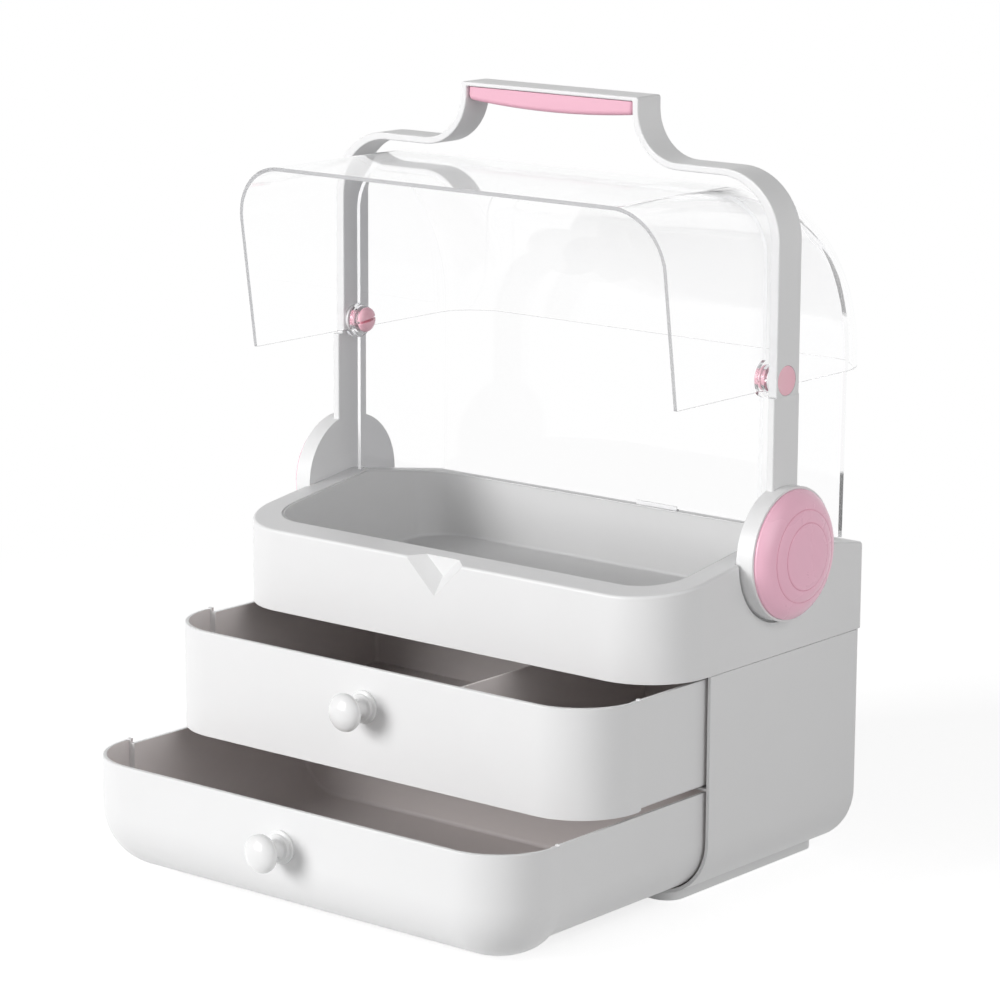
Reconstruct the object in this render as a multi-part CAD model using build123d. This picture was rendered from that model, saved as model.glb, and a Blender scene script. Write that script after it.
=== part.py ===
from build123d import *
import os

# Makeup storage case with two drawers, a tray under a clear swing-back hood and a carrying handle.
# X runs to the right seen from the front, Y to the back, Z up; the origin is under the plinth.

os.makedirs("parts", exist_ok=True)

# Plan of the case
TRAY_HALF = 140.0        # half the width over the tray
TRAY_DEPTH = 167.0       # tray's front face to its rear face
PLAN_R = 34.0            # front corners in plan
REAR_R = 4.0             # rear corners in plan
BODY_INSET = 0.8         # body and drawer fronts stand this far inside the tray

# Heights
PLINTH_H = 4.5           # plinth under the body
LOWER_H = 58.1           # plinth top to the middle of the gap between the drawer fronts
UPPER_H = 56.0           # that gap to the underside of the tray
TRAY_H = 42.0            # underside of the tray to its rim at the front face
ROOF_SLOPE = 0.143       # rise of the rim towards the pivots
ROOF_FALL = 0.165        # fall of the rim behind the pivots
POCKET_LIFT = 12.4       # pocket floor above the underside of the tray

# Plastic thickness and gaps
WALL = 2.0               # body walls and drawer fronts
TRAY_WALL = 2.6          # tray walls
LINER_WALL = 1.5         # pocket liner
BOX_GAP = 1.8            # drawer box to the sides of the body
UNDER_GAP = 0.5          # lower box to the bottom of the body
REVEAL = 1.1             # upper drawer front to its neighbours
LOWER_REVEAL = 1.5       # top of the lower drawer front below the middle of the gap
RETURN_GAP = 3.5         # returns of a closed drawer front to the sides of the body
FIT = 0.05               # radial running clearance of the pins
TUB_R = 31.0             # bottom edges of the body and of the lower drawer front
SEAM_H = 0.7             # shadow groove under the tray
SEAM_D = 1.0

# Drawers
BAY_SETBACK = 40.1       # front edge of the body sides behind the tray's front face
SHELF_T = 1.5
BOX_WALL = 1.8
SHELF_DROP = 1.2         # middle of the shelf below the middle of the gap between the fronts
BOX_DROP = 1.4           # top of a drawer box below the top of its front
BOX_LIFT = 0.2           # floor of the upper drawer above the bottom of its front
SKIRT_DROP = 1.0         # sides of the upper box below the bottom of its front
SKIRT_T = 3.6
UPPER_HOLD = 71.0        # length of the upper box still inside the body at rest
LOWER_HOLD = 11.6        # length of the lower box still inside the body at rest
BOX_BACK_GAP = 1.5       # closed box to the rear wall
DIVIDER_X = 46.5
DIVIDER_T = 1.6
DIVIDER_H = 46.5
STOP_T = 2.0             # stop ridge along Y
STOP_DROP = 1.6          # overlap of stop ridge and box rear wall
STOP_SIDE = 39.2         # stop ridge to the outside of the body
FLANGE_T = 1.8           # flange of a drawer box behind the end of a return
FLANGE_INSET = 0.3       # flange inside the outer face of the return
TAB_W = 2.6              # tab on the flange
TAB_H = 0.5              # tab above the top of the drawer front
RUNNER_SIDE = 43.2       # middle of a runner to the outside of the body
RUNNER_W = 6.0
RUNNER_GAP = 0.2

# Knobs
KNOB_R = 9.5
KNOB_HALF_T = 5.3        # half the thickness of the flattened ball
KNOB_POLE = 80.0         # angle of its section beyond which it is flat
KNOB_REACH = 14.2        # middle of the ball in front of the drawer front
KNOB_BASE_R = 8.3
KNOB_BASE_T = 1.6
KNOB_STEP_R = 6.7
KNOB_STEP_T = 1.6
KNOB_NECK_R = 4.6
UPPER_KNOB_H = 35.2      # upper knob above the middle of the gap
LOWER_KNOB_H = 37.0      # lower knob above the plinth
SCREW_R = 1.5
SCREW_HEAD_R = 3.2
SCREW_HEAD_T = 1.6
SCREW_BITE = 8.0         # screw length inside the knob
SCREW_PLAY = 0.15

# Plinth
PLINTH_SIDE = 24.0       # plinth inside the tray's sides
PLINTH_LEAD = 1.4        # plinth behind the front edge of the body sides
PLINTH_BACK = 1.5        # plinth inside the tray's rear
PLINTH_R = 10.0
PLINTH_UP = 1.5          # plinth reaches up round the curved bottom edge

# Tray pocket and notch
POCKET_SIDE = 12.6       # width of the rim band at the sides
POCKET_LEAD = 14.0       # width of the rim band in front
POCKET_BACK = 13.5       # width of the rim band at the rear
POCKET_R = 24.0
LINER_STEP = 0.5         # liner rim below the tray rim
NOTCH_DROP = 17.6        # lowest point of the notch below the rim, on the front face
NOTCH_HALF = 18.3        # half the notch at the rim, on the front face
NOTCH_RUN = 6.8          # depth of the notch along Y
NOTCH_IN_DROP = 8.7      # lowest point of its rear wall below the rim
NOTCH_IN_HALF = 9.5      # half its rear wall at the rim
NOTCH_BACKING = 25.0
RIM_EDGE_R = 1.6         # rounding of the rim's outer edge

# Pivot and handle
PIVOT_Y = 10.85
PIVOT_RISE = 93.5        # pivots above the rim at the front face
LEG_PROUD = 1.5          # outer face of the handle's legs outside the tray
ARM_T = 4.0
ARM_LEAD = 10.05         # front of the arm before the pivot
ARM_D = 20.9
ARCH_LEAD = 8.35         # front of the arch before the pivot
ARCH_D = 18.7
JOINT_RIM = 0.3          # joint of arm and arch below the pin cap
ARCH_LEG_T = 5.3
ARCH_T = 3.6
ARCH_GAP = 6.3           # underside of the shoulders above the swinging hood
ARCH_R = 34.0
ARCH_IN_R = 30.0
BAR_RISE = 29.9          # top of the bar above the shoulders
BAR_T = 2.2
BAR_HALF = 56.0
BAR_R = 1.5
SWEEP_R = 24.0           # curve from shoulder up to bar
EDGE_R = 0.8

# Grip under the bar
GRIP_SIDE = 0.3          # grip to the arch at each end
GRIP_GAP = 0.3
GRIP_INSET = 0.8         # grip narrower than the bar on each side
GRIP_END_T = 6.6
GRIP_MID_T = 9.2
GRIP_END_R = 3.0
PEG_X = 30.0
PEG_R = 2.5
PEG_L = 1.4

# Hubs at the foot of the handle
HUB_RISE = 9.05          # hub centres above the rim at the front face
HUB_R = 33.2
HUB_PROUD = 5.5          # hub rims outside the handle's legs
HUB_CLEAR = 1.3
HUB_GAP = 0.2
HUB_BEZEL = 1.3          # rim of the hub round its cap
CAP_T = 3.5
CAP_PROUD = 0.5
CAP_FIT = 0.05
CAP_WALL = 2.0
CAP_EDGE = 0.8           # rim of the dome
RING_R = 22.4
RING_RISE = 6.7          # dome at the outer ring
RING_IN_R = 16.2
RING_IN_RISE = 8.5       # dome at the inner ring
RING_STEP = 0.35
RING_W = 0.3
DOME_RISE = 9.0          # crown of the dome
CROWN_R = 9.0            # flat middle of the dome
SPIGOT_R = 4.5
SPIGOT_PLAY = 0.1
SPIGOT_DROP = 15.0       # spigots below the hub's centre
SPIGOT_Y = 12.0          # spigots in front of and behind the hub's centre
HUB_SCREW_R = 2.5
HUB_SCREW_GAP = 0.5      # screws end this far inside the handle's legs
RETAINER_RIM = 2.5       # retainer plate round its screws
RETAINER_T = 2.0
BOSS_RIM = 3.5           # wall round the hub recess

# Pins
PIN_R = 4.0
PIN_CAP_R = 7.3
PIN_CAP_T = 2.0
PIN_HEAD_R = 6.5
PIN_HEAD_T = 3.6
PIN_SLOT = 1.5
PIN_SIDE_GAP = 0.3

# Hood and rear shell
CLEAR_T = 2.0            # clear plastic
HOOD_SIDE = 1.9          # hood to the handle's legs
HOOD_NOSE = 4.05         # hood inside the tray's front face when closed
HOOD_CORNER = 29.4
HOOD_BACK = 4.7          # rear edge behind the pivot when closed
HOOD_LAND = 1.6          # closed hood above the tray rim
EAR_R = 9.7
SHELL_SIDE = 2.2         # shell to the inside of the hood
SHELL_CORNER = 28.2
SHELL_SINK = 3.8         # top of the shell below the top of the hood's swing
SHELL_LEAD = 3.5         # front edge in front of the pivot
SHELL_STEP = 2.4         # radius of the shell's back less than the hood's
SHELL_BACK = 5.2         # rearmost point inside the tray's rear
SHELL_FOOT = 6.8         # foot inside the tray's rear
SHELL_LAND = 1.0         # shell above the tray rim
SHELL_GAP = 0.45         # shell to the swinging hood
CLIP_X = 16.0
CLIP_W = 26.0
CLIP_H = 2.5

# Values that follow from the ones above
TRAY_FRONT = -TRAY_DEPTH / 2
TRAY_REAR = TRAY_DEPTH / 2
BODY_HALF = TRAY_HALF - BODY_INSET
BODY_FRONT = TRAY_FRONT
BODY_REAR = TRAY_REAR - BODY_INSET
BAY_FRONT = TRAY_FRONT + BAY_SETBACK
BOX_REAR = BODY_REAR - WALL - BOX_BACK_GAP
UPPER_OPEN = BOX_REAR - BAY_FRONT - UPPER_HOLD
LOWER_OPEN = BOX_REAR - BAY_FRONT - LOWER_HOLD
RETURN_END = BAY_FRONT - RETURN_GAP
BOX_INSET = WALL + BOX_GAP
SPLIT_Z = PLINTH_H + LOWER_H
SEAM_Z = SPLIT_Z + UPPER_H
RIM_Z = SEAM_Z + TRAY_H
RIDGE_Z = RIM_Z + ROOF_SLOPE * (PIVOT_Y - TRAY_FRONT)
SHELF_TOP = SPLIT_Z + SHELF_T / 2 - SHELF_DROP
STOP_HALF = BODY_HALF - STOP_SIDE
RUNNER_X = BODY_HALF - RUNNER_SIDE
UPPER_KNOB_Z = SPLIT_Z + UPPER_KNOB_H
LOWER_KNOB_Z = PLINTH_H + LOWER_KNOB_H
PLINTH_HALF = TRAY_HALF - PLINTH_SIDE
PLINTH_FRONT = BAY_FRONT + PLINTH_LEAD
PLINTH_REAR = TRAY_REAR - PLINTH_BACK
POCKET_HALF = TRAY_HALF - POCKET_SIDE
POCKET_FRONT = TRAY_FRONT + POCKET_LEAD
POCKET_REAR = TRAY_REAR - POCKET_BACK
POCKET_Z = SEAM_Z + POCKET_LIFT
PIVOT_Z = RIM_Z + PIVOT_RISE
PIVOT_AXIS = Axis((0, PIVOT_Y, PIVOT_Z), (1, 0, 0))
ARM_OUT = TRAY_HALF + LEG_PROUD
ARM_FRONT = PIVOT_Y - ARM_LEAD
HOOD_HALF = ARM_OUT - ARCH_LEG_T - HOOD_SIDE
HOOD_R = PIVOT_Y - TRAY_FRONT - HOOD_NOSE
SHELL_HALF = HOOD_HALF - CLEAR_T - SHELL_SIDE
SHELL_TOP = PIVOT_Z + HOOD_R - SHELL_SINK
SHELL_R = HOOD_R - SHELL_STEP
SHELL_ARC_Y = TRAY_REAR - SHELL_BACK - SHELL_R
SHELL_FOOT_Y = TRAY_REAR - SHELL_FOOT
ARCH_FRONT = PIVOT_Y - ARCH_LEAD
ARCH_Z = PIVOT_Z + HOOD_R + ARCH_GAP + ARCH_T
ARCH_JOINT = PIN_CAP_R + JOINT_RIM
BAR_Z = ARCH_Z + BAR_RISE
GRIP_HALF = BAR_HALF - ARCH_T - GRIP_SIDE
HUB_Z = RIM_Z + HUB_RISE
HUB_OUT = ARM_OUT + HUB_PROUD
CAP_R = HUB_R - HUB_BEZEL
BIG = 2 * TRAY_HALF


def plan_face(half, front, rear, r_front, r_rear):
    """Rectangle in plan with its own radii at the front and the rear corners."""
    face = Pos(0, (front + rear) / 2) * Rectangle(2 * half, rear - front)
    face = fillet(face.vertices().group_by(Axis.Y)[0], r_front)
    return fillet(face.vertices().group_by(Axis.Y)[-1], r_rear)


def prism(face, z0, z1):
    """Upright prism between two heights."""
    return Pos(0, 0, z0) * extrude(face, z1 - z0)


def box(x0, x1, y0, y1, z0, z1):
    """Box between six planes."""
    centre = Pos((x0 + x1) / 2, (y0 + y1) / 2, (z0 + z1) / 2)
    return centre * Box(x1 - x0, y1 - y0, z1 - z0)


def side_prism(points, half):
    """Prism along X over a polygon of (Y, Z) points."""
    face = Plane.YZ * make_face(Polyline(*points, close=True))
    return extrude(face, half, both=True)


def rod_x(radius, x0, x1, y, z):
    """Round rod along X."""
    return Pos((x0 + x1) / 2, y, z) * Rot(0, 90, 0) * Cylinder(radius, abs(x1 - x0))


def rod_y(radius, y0, y1, z):
    """Round rod along Y on the plane X = 0."""
    return Pos(0, (y0 + y1) / 2, z) * Rot(90, 0, 0) * Cylinder(radius, y1 - y0)


def roof(lift):
    """Everything under the tray rim, raised by lift."""
    front = TRAY_FRONT - TRAY_WALL
    rear = TRAY_REAR + TRAY_WALL
    z_front = RIM_Z - ROOF_SLOPE * TRAY_WALL + lift
    z_rear = RIDGE_Z - ROOF_FALL * (rear - PIVOT_Y) + lift
    points = [(front, 0), (front, z_front), (PIVOT_Y, RIDGE_Z + lift), (rear, z_rear), (rear, 0)]
    return side_prism(points, BIG)


def tub(inset, top, rear, r_rear, ground=None):
    """Rounded tub that the body and the lower drawer share, inset all round."""
    half = BODY_HALF - inset
    front = BODY_FRONT + inset
    face = Pos(0, (front + rear) / 2) * Rectangle(2 * half, rear - front)
    face = fillet(face.vertices().group_by(Axis.Y)[0], PLAN_R - inset)
    block = prism(face, PLINTH_H + (inset if ground is None else ground), top)
    bottom = block.edges().group_by(Axis.Z)[0]
    block = fillet([e for e in bottom if e.center().Y < rear - REAR_R], TUB_R - inset)
    back = block.edges().group_by(Axis.Y)[-1]
    return fillet([e for e in back if e.center().Z < top - REAR_R], r_rear)


def behind(y):
    """Half space behind a plane of Y."""
    return box(-BIG, BIG, y, y + 2 * BIG, -BIG, 2 * BIG)


def body_shell():
    """Lower case: two sides, rounded bottom edges and a rear wall, open to the front."""
    outer = tub(0, SEAM_Z, BODY_REAR, REAR_R)
    inner = tub(WALL, SEAM_Z + WALL, BODY_REAR - WALL, REAR_R - WALL)
    plan = plan_face(BODY_HALF, BODY_FRONT, BODY_REAR, PLAN_R, REAR_R)
    d = SEAM_D
    core = plan_face(BODY_HALF - d, BODY_FRONT + d, BODY_REAR - d, PLAN_R - d, REAR_R - d)
    groove = prism(plan, SEAM_Z - SEAM_H, SEAM_Z) - prism(core, SEAM_Z - 2 * SEAM_H, SEAM_Z + SEAM_H)
    return (outer - inner - groove) & behind(BAY_FRONT)


def base_plinth():
    """Plate the case stands on, cut to the curve of the body."""
    face = plan_face(PLINTH_HALF, PLINTH_FRONT, PLINTH_REAR, PLINTH_R, PLINTH_R)
    return prism(face, 0, PLINTH_H + PLINTH_UP) - tub(0, SEAM_Z, BODY_REAR, REAR_R)


def stop_ridge(z_top, box_top):
    """Ridge above a bay that the drawer's rear wall meets when it is drawn out."""
    return box(-STOP_HALF, STOP_HALF, BAY_FRONT + STOP_T, BAY_FRONT + 2 * STOP_T,
               box_top - STOP_DROP, z_top)


def drawer_shelf():
    """Shelf between the bays, with runners above it and a stop ridge below it."""
    half = BODY_HALF - WALL
    rear = BODY_REAR - WALL
    plate = plan_face(half, BAY_FRONT, rear, SHELF_T / 2, REAR_R - WALL)
    shelf = prism(plate, SHELF_TOP - SHELF_T, SHELF_TOP)
    for x in (-RUNNER_X, RUNNER_X):
        top = upper_floor_z() - RUNNER_GAP
        shelf += box(x - RUNNER_W / 2, x + RUNNER_W / 2, BAY_FRONT, rear, SHELF_TOP, top)
    return shelf + stop_ridge(SHELF_TOP - SHELF_T, lower_front_top() - BOX_DROP)


def upper_front_z():
    """Bottom of the upper drawer front."""
    return SPLIT_Z + REVEAL


def upper_floor_z():
    """Underside of the upper drawer's floor."""
    return upper_front_z() + BOX_LIFT


def upper_front_top():
    """Top of the upper drawer front."""
    return SEAM_Z - REVEAL


def lower_front_top():
    """Top of the lower drawer front."""
    return SPLIT_Z - LOWER_REVEAL


def notch_section(y, share):
    """Triangle of the notch at one Y, where share runs from 0 at the front to 1 at its rear wall."""
    drop = NOTCH_DROP + share * (NOTCH_IN_DROP - NOTCH_DROP)
    half = NOTCH_HALF + share * (NOTCH_IN_HALF - NOTCH_HALF)
    top = 2 * drop
    points = [(0, RIM_Z - drop), (half * top / drop, RIM_Z - drop + top),
              (-half * top / drop, RIM_Z - drop + top)]
    return Plane.XZ.offset(-y) * make_face(Polyline(*points, close=True))


def notch_cut():
    """Three-sided scoop in the middle of the tray's front, narrower towards its rear wall."""
    lead = EDGE_R
    front = notch_section(TRAY_FRONT - lead, -lead / NOTCH_RUN)
    return loft([front, notch_section(TRAY_FRONT + NOTCH_RUN, 1)], ruled=True)


def tray_casing():
    """Outer tray: sloping rim band, walls, notch, hub seats and the upper drawer's stop."""
    plan = plan_face(TRAY_HALF, TRAY_FRONT, TRAY_REAR, PLAN_R, REAR_R)
    outer = prism(plan, SEAM_Z, RIDGE_Z + TRAY_WALL) & roof(0)
    top = [e for e in outer.edges() if e.center().Z > RIM_Z - NOTCH_DROP]
    rim = [e for e in top if abs(e.center().X) > 1 or abs(e.center().Y - PIVOT_Y) > 1]
    outer = fillet(rim, RIM_EDGE_R)
    t = TRAY_WALL
    plan_in = plan_face(TRAY_HALF - t, TRAY_FRONT + t, TRAY_REAR - t, PLAN_R - t, REAR_R - t / 2)
    void = prism(plan_in, SEAM_Z - t, RIDGE_Z) & roof(-t)
    casing = outer - void
    casing += box(-NOTCH_BACKING, NOTCH_BACKING, TRAY_FRONT + t, POCKET_FRONT - t / 2,
                  RIM_Z - NOTCH_DROP - t, RIM_Z) & roof(-t / 2)
    boss_r = HUB_R + HUB_CLEAR + BOSS_RIM
    for side in (-1, 1):
        boss = rod_x(boss_r, side * (hub_seat() - t), side * (TRAY_HALF - t / 2), PIVOT_Y, HUB_Z)
        casing += boss & roof(-t / 2)
    for side in (-1, 1):
        casing -= rod_x(HUB_R + HUB_CLEAR, side * hub_seat(), side * (TRAY_HALF + t), PIVOT_Y, HUB_Z)
        for y in spigot_places():
            casing -= rod_x(SPIGOT_R + SPIGOT_PLAY, side * (hub_seat() - 2 * t), side * TRAY_HALF, y, spigot_z())
    half = TRAY_HALF - t
    beam = box(-half, half, BAY_FRONT, BAY_FRONT + 3 * STOP_T, SEAM_Z, POCKET_Z - 2 * LINER_WALL)
    beam += stop_ridge(SEAM_Z + STOP_T, upper_front_top() - BOX_DROP)
    casing += beam
    mouth = plan_face(POCKET_HALF, POCKET_FRONT, POCKET_REAR, POCKET_R, POCKET_R)
    casing -= prism(mouth, POCKET_Z, RIDGE_Z + t)
    return casing - notch_cut()


def hub_seat():
    """Distance from the middle to the bottom of the hub recess in the tray side."""
    return ARM_OUT - ARM_T - HUB_GAP


def spigot_places():
    """Y of the two spigots of a hub."""
    return (PIVOT_Y - SPIGOT_Y, PIVOT_Y + SPIGOT_Y)


def spigot_z():
    """Height of the spigots."""
    return HUB_Z - SPIGOT_DROP


def tray_liner():
    """Pocket of the tray."""
    mouth = plan_face(POCKET_HALF, POCKET_FRONT, POCKET_REAR, POCKET_R, POCKET_R)
    t = LINER_WALL
    hole = plan_face(POCKET_HALF - t, POCKET_FRONT + t, POCKET_REAR - t, POCKET_R - t, POCKET_R - t)
    block = prism(mouth, POCKET_Z - t, RIDGE_Z)
    block = fillet(block.edges().group_by(Axis.Z)[0], 2 * t)
    space = prism(hole, POCKET_Z, RIDGE_Z + t)
    space = fillet(space.edges().group_by(Axis.Z)[0], t)
    return (block - space) & roof(-LINER_STEP)


def drawer_front(lower):
    """Drawer front with its two returns round the corners."""
    if lower:
        inner = tub(WALL, SEAM_Z, BODY_REAR + WALL, REAR_R)
        skin = tub(0, lower_front_top(), BODY_REAR, REAR_R) - inner
        knob_z = LOWER_KNOB_Z
    else:
        plan = plan_face(BODY_HALF, BODY_FRONT, BODY_REAR, PLAN_R, REAR_R)
        inner = plan_face(BODY_HALF - WALL, BODY_FRONT + WALL, BODY_REAR + WALL, PLAN_R - WALL, REAR_R)
        z0 = upper_front_z()
        skin = prism(plan, z0, upper_front_top()) - prism(inner, z0 - WALL, SEAM_Z)
        knob_z = UPPER_KNOB_Z
    skin -= behind(RETURN_END)
    top = skin.edges().group_by(Axis.Z)[-1]
    skin = fillet([e for e in top if e.center().Y < RETURN_END - 2 * FIT and on_outside(e)], EDGE_R)
    return skin - screw_hole(knob_z)


def on_outside(edge):
    """True for an edge of the outer contour of the body plan."""
    point = edge.position_at(0.5)
    front = abs(point.Y - BODY_FRONT) < WALL / 4
    side = abs(abs(point.X) - BODY_HALF) < WALL / 4
    dx = abs(point.X) - (BODY_HALF - PLAN_R)
    dy = point.Y - (BODY_FRONT + PLAN_R)
    corner = abs((dx * dx + dy * dy) ** 0.5 - PLAN_R) < WALL / 4
    return front or side or corner


def screw_hole(knob_z):
    """Clearance hole for the knob screw through the drawer's front wall."""
    return rod_y(SCREW_R + SCREW_PLAY, BODY_FRONT - WALL, BODY_FRONT + 4 * WALL, knob_z)


def drawer_box(lower):
    """Sides, rear and floor of a drawer, with a flange that closes the end of each return."""
    rear = BOX_REAR
    t = BOX_WALL
    inset = BOX_INSET + t
    flange = slice_y(RETURN_END, RETURN_END + FLANGE_T)
    if lower:
        front_top = lower_front_top()
        top = front_top - BOX_DROP
        ground = WALL + UNDER_GAP
        outer = tub(BOX_INSET, top, rear, REAR_R - WALL, ground)
        space = tub(inset, SEAM_Z, rear - t, REAR_R - WALL, ground + t)
        shell = (outer - space) & behind(RETURN_END)
        shell += (tub(FLANGE_INSET, top, rear, REAR_R - WALL) & flange) - space
        floor = PLINTH_H + ground + t
        plate = tub(WALL, SEAM_Z, rear, REAR_R - WALL) & box(-BIG, BIG, -BIG, RETURN_END, 0, floor)
        shell += plate
    else:
        front_top = upper_front_top()
        top = front_top - BOX_DROP
        floor = upper_floor_z()
        foot = upper_front_z() - SKIRT_DROP
        r = PLAN_R - BOX_INSET
        plan = plan_face(BODY_HALF - BOX_INSET, BODY_FRONT + BOX_INSET, rear, r, REAR_R)
        inner = plan_face(BODY_HALF - inset, BODY_FRONT + WALL, rear - t, r, REAR_R - t)
        outer = prism(plan, foot, top)
        outer = fillet(outer.edges().group_by(Axis.Z)[0], t)
        under = BODY_HALF - BOX_INSET - SKIRT_T
        outer -= box(-under, under, -BIG, BIG, foot - t, floor)
        shell = (outer - prism(inner, floor + t, SEAM_Z)) & behind(RETURN_END)
        full = plan_face(BODY_HALF - FLANGE_INSET, BODY_FRONT, rear, PLAN_R, REAR_R)
        shell += (prism(full, floor, top) & flange) - prism(inner, floor + t, SEAM_Z)
        seat = plan_face(BODY_HALF - WALL, BODY_FRONT + WALL, rear, PLAN_R - WALL, REAR_R)
        shell += prism(seat, floor, floor + t) - behind(RETURN_END)
    x1 = BODY_HALF - FLANGE_INSET
    for side in (-1, 1):
        xs = sorted((side * (x1 - TAB_W), side * x1))
        shell += box(xs[0], xs[1], RETURN_END, RETURN_END + FLANGE_T, top - TAB_H, front_top + TAB_H)
    return shell


def slice_y(y0, y1):
    """Everything between two planes of Y."""
    return box(-BIG, BIG, y0, y1, -BIG, 2 * BIG)


def upper_drawer_divider():
    """Upright partition that runs from the front to the rear of the upper drawer."""
    floor = upper_floor_z() + BOX_WALL
    y0 = BODY_FRONT + WALL
    y1 = BOX_REAR - BOX_WALL
    plate = box(DIVIDER_X - DIVIDER_T / 2, DIVIDER_X + DIVIDER_T / 2, y0, y1, floor, floor + DIVIDER_H)
    feet = [e for e in plate.edges().filter_by(Axis.X) if e.center().Z < floor + 1]
    return fillet(feet, BOX_WALL)


def knob(knob_z):
    """Flattened ball on a neck with a stepped base, turned about its Y axis."""
    y = BODY_FRONT
    ball_y = y - KNOB_REACH
    z = knob_z
    step = y - KNOB_BASE_T - KNOB_STEP_T
    ring = rod_y(KNOB_BASE_R, y - KNOB_BASE_T, y, z)
    ring = fillet(ring.edges().group_by(Axis.Y)[0], KNOB_BASE_T / 3)
    collar = rod_y(KNOB_STEP_R, step, y - KNOB_BASE_T, z)
    collar = fillet(collar.edges().group_by(Axis.Y)[0], KNOB_STEP_T / 2)
    neck = rod_y(KNOB_NECK_R, ball_y, step, z)
    bulge = EllipticalCenterArc((0, 0), KNOB_R, KNOB_HALF_T, -KNOB_POLE, arc_size=2 * KNOB_POLE)
    low, high = bulge @ 0, bulge @ 1
    half = make_face(bulge + Polyline(high, (0, high.Y), (0, low.Y), low))
    ball = Pos(0, ball_y, z) * revolve(half, axis=Axis.Y)
    hole = rod_y(SCREW_R + FIT, y - SCREW_BITE - FIT, y + 1, z)
    return ring + collar + neck + ball - hole


def knob_screw(knob_z):
    """Screw that holds a knob from inside the drawer."""
    head_y = BODY_FRONT + WALL
    shank = rod_y(SCREW_R, BODY_FRONT - SCREW_BITE, head_y, knob_z)
    head = rod_y(SCREW_HEAD_R, head_y, head_y + SCREW_HEAD_T, knob_z)
    head = fillet(head.edges().group_by(Axis.Y)[-1], SCREW_HEAD_T / 3)
    slot = box(-SCREW_HEAD_R, SCREW_HEAD_R, head_y + SCREW_HEAD_T / 2, head_y + 2 * SCREW_HEAD_T,
               knob_z - SCREW_R / 4, knob_z + SCREW_R / 4)
    return shank + head - slot


def outline(half, shoulder, bar_half, bar_top, foot):
    """Sharp outline of the arch in X and Z, one half mirrored to the other."""
    right = [(half, foot), (half, shoulder), (bar_half, shoulder), (bar_half, bar_top)]
    left = [(-x, z) for x, z in reversed(right)]
    return make_face(Polyline(*(right + left), close=True))


def round_outline(face, shoulder_r, sweep_r, bar_r, half, bar_half, shoulder):
    """Round the shoulders, the sweeps up to the bar and the ends of the bar."""
    for x, y, radius in ((half, shoulder, shoulder_r), (bar_half, shoulder, sweep_r)):
        corners = [v for v in face.vertices() if abs(abs(v.X) - x) < 0.01 and abs(v.Y - y) < 0.01]
        face = fillet(corners, radius)
    return fillet(face.vertices().group_by(Axis.Y)[-1], bar_r)


def handle_arch():
    """Upper part of the handle: two legs, shoulders and the bar over the grip."""
    foot = PIVOT_Z - ARCH_JOINT
    outer = outline(ARM_OUT, ARCH_Z, BAR_HALF, BAR_Z, foot)
    outer = round_outline(outer, ARCH_R, SWEEP_R, BAR_R, ARM_OUT, BAR_HALF, ARCH_Z)
    half = ARM_OUT - ARCH_LEG_T
    bar_half = BAR_HALF - ARCH_T
    shoulder = ARCH_Z - ARCH_T
    inner = outline(half, shoulder, bar_half, BAR_Z - BAR_T, foot - ARCH_T)
    inner = round_outline(inner, ARCH_IN_R, SWEEP_R + ARCH_T, BAR_R / 3, half, bar_half, shoulder)
    face = Plane.XZ.offset(-ARCH_FRONT - ARCH_D) * (outer - inner)
    arch = extrude(face, ARCH_D)
    ends = arch.edges().group_by(Axis.Y)
    arch = fillet(ends[0] + ends[-1], EDGE_R)
    for side in (-1, 1):
        x0 = HOOD_HALF + PIN_SIDE_GAP
        arch += rod_x(PIN_CAP_R, side * x0, side * (ARM_OUT - ARCH_LEG_T / 2), PIVOT_Y, PIVOT_Z)
    for side in (-1, 1):
        arch -= rod_x(PIN_R + FIT, side * (HOOD_HALF - 1), side * (ARM_OUT + 1), PIVOT_Y, PIVOT_Z)
        arch -= rod_x(PIN_CAP_R + FIT, side * (ARM_OUT - PIN_CAP_T), side * (ARM_OUT + 1), PIVOT_Y, PIVOT_Z)
        hole = Pos(side * PEG_X, ARCH_FRONT + ARCH_D / 2, BAR_Z - BAR_T + PEG_L / 2)
        arch -= hole * Cylinder(PEG_R + FIT, PEG_L + FIT)
    return arch


def handle_grip():
    """Soft grip under the bar, with a full underside and two pegs into the bar."""
    top = BAR_Z - BAR_T - GRIP_GAP
    points = [(-GRIP_HALF, top), (-GRIP_HALF, top - GRIP_END_T), (GRIP_HALF, top - GRIP_END_T),
              (GRIP_HALF, top)]
    sag = ThreePointArc(points[1], (0, top - GRIP_MID_T), points[2])
    lines = Line(points[0], points[1]) + sag + Line(points[2], points[3]) + Line(points[3], points[0])
    y0 = ARCH_FRONT + GRIP_INSET
    depth = ARCH_D - 2 * GRIP_INSET
    face = make_face(lines)
    face = fillet(face.vertices().group_by(Axis.Y)[0], GRIP_END_R)
    grip = extrude(Plane.XZ.offset(-y0 - depth) * face, depth)
    ends = grip.edges().group_by(Axis.Y)
    low = [e for e in ends[0] + ends[-1] if e.center().Z < top - 0.1]
    grip = fillet(low, GRIP_END_R * 0.8)
    for x in (-PEG_X, PEG_X):
        height = PEG_L + GRIP_GAP - FIT
        grip += Pos(x, ARCH_FRONT + ARCH_D / 2, top + height / 2) * Cylinder(PEG_R, height)
    return grip


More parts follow.
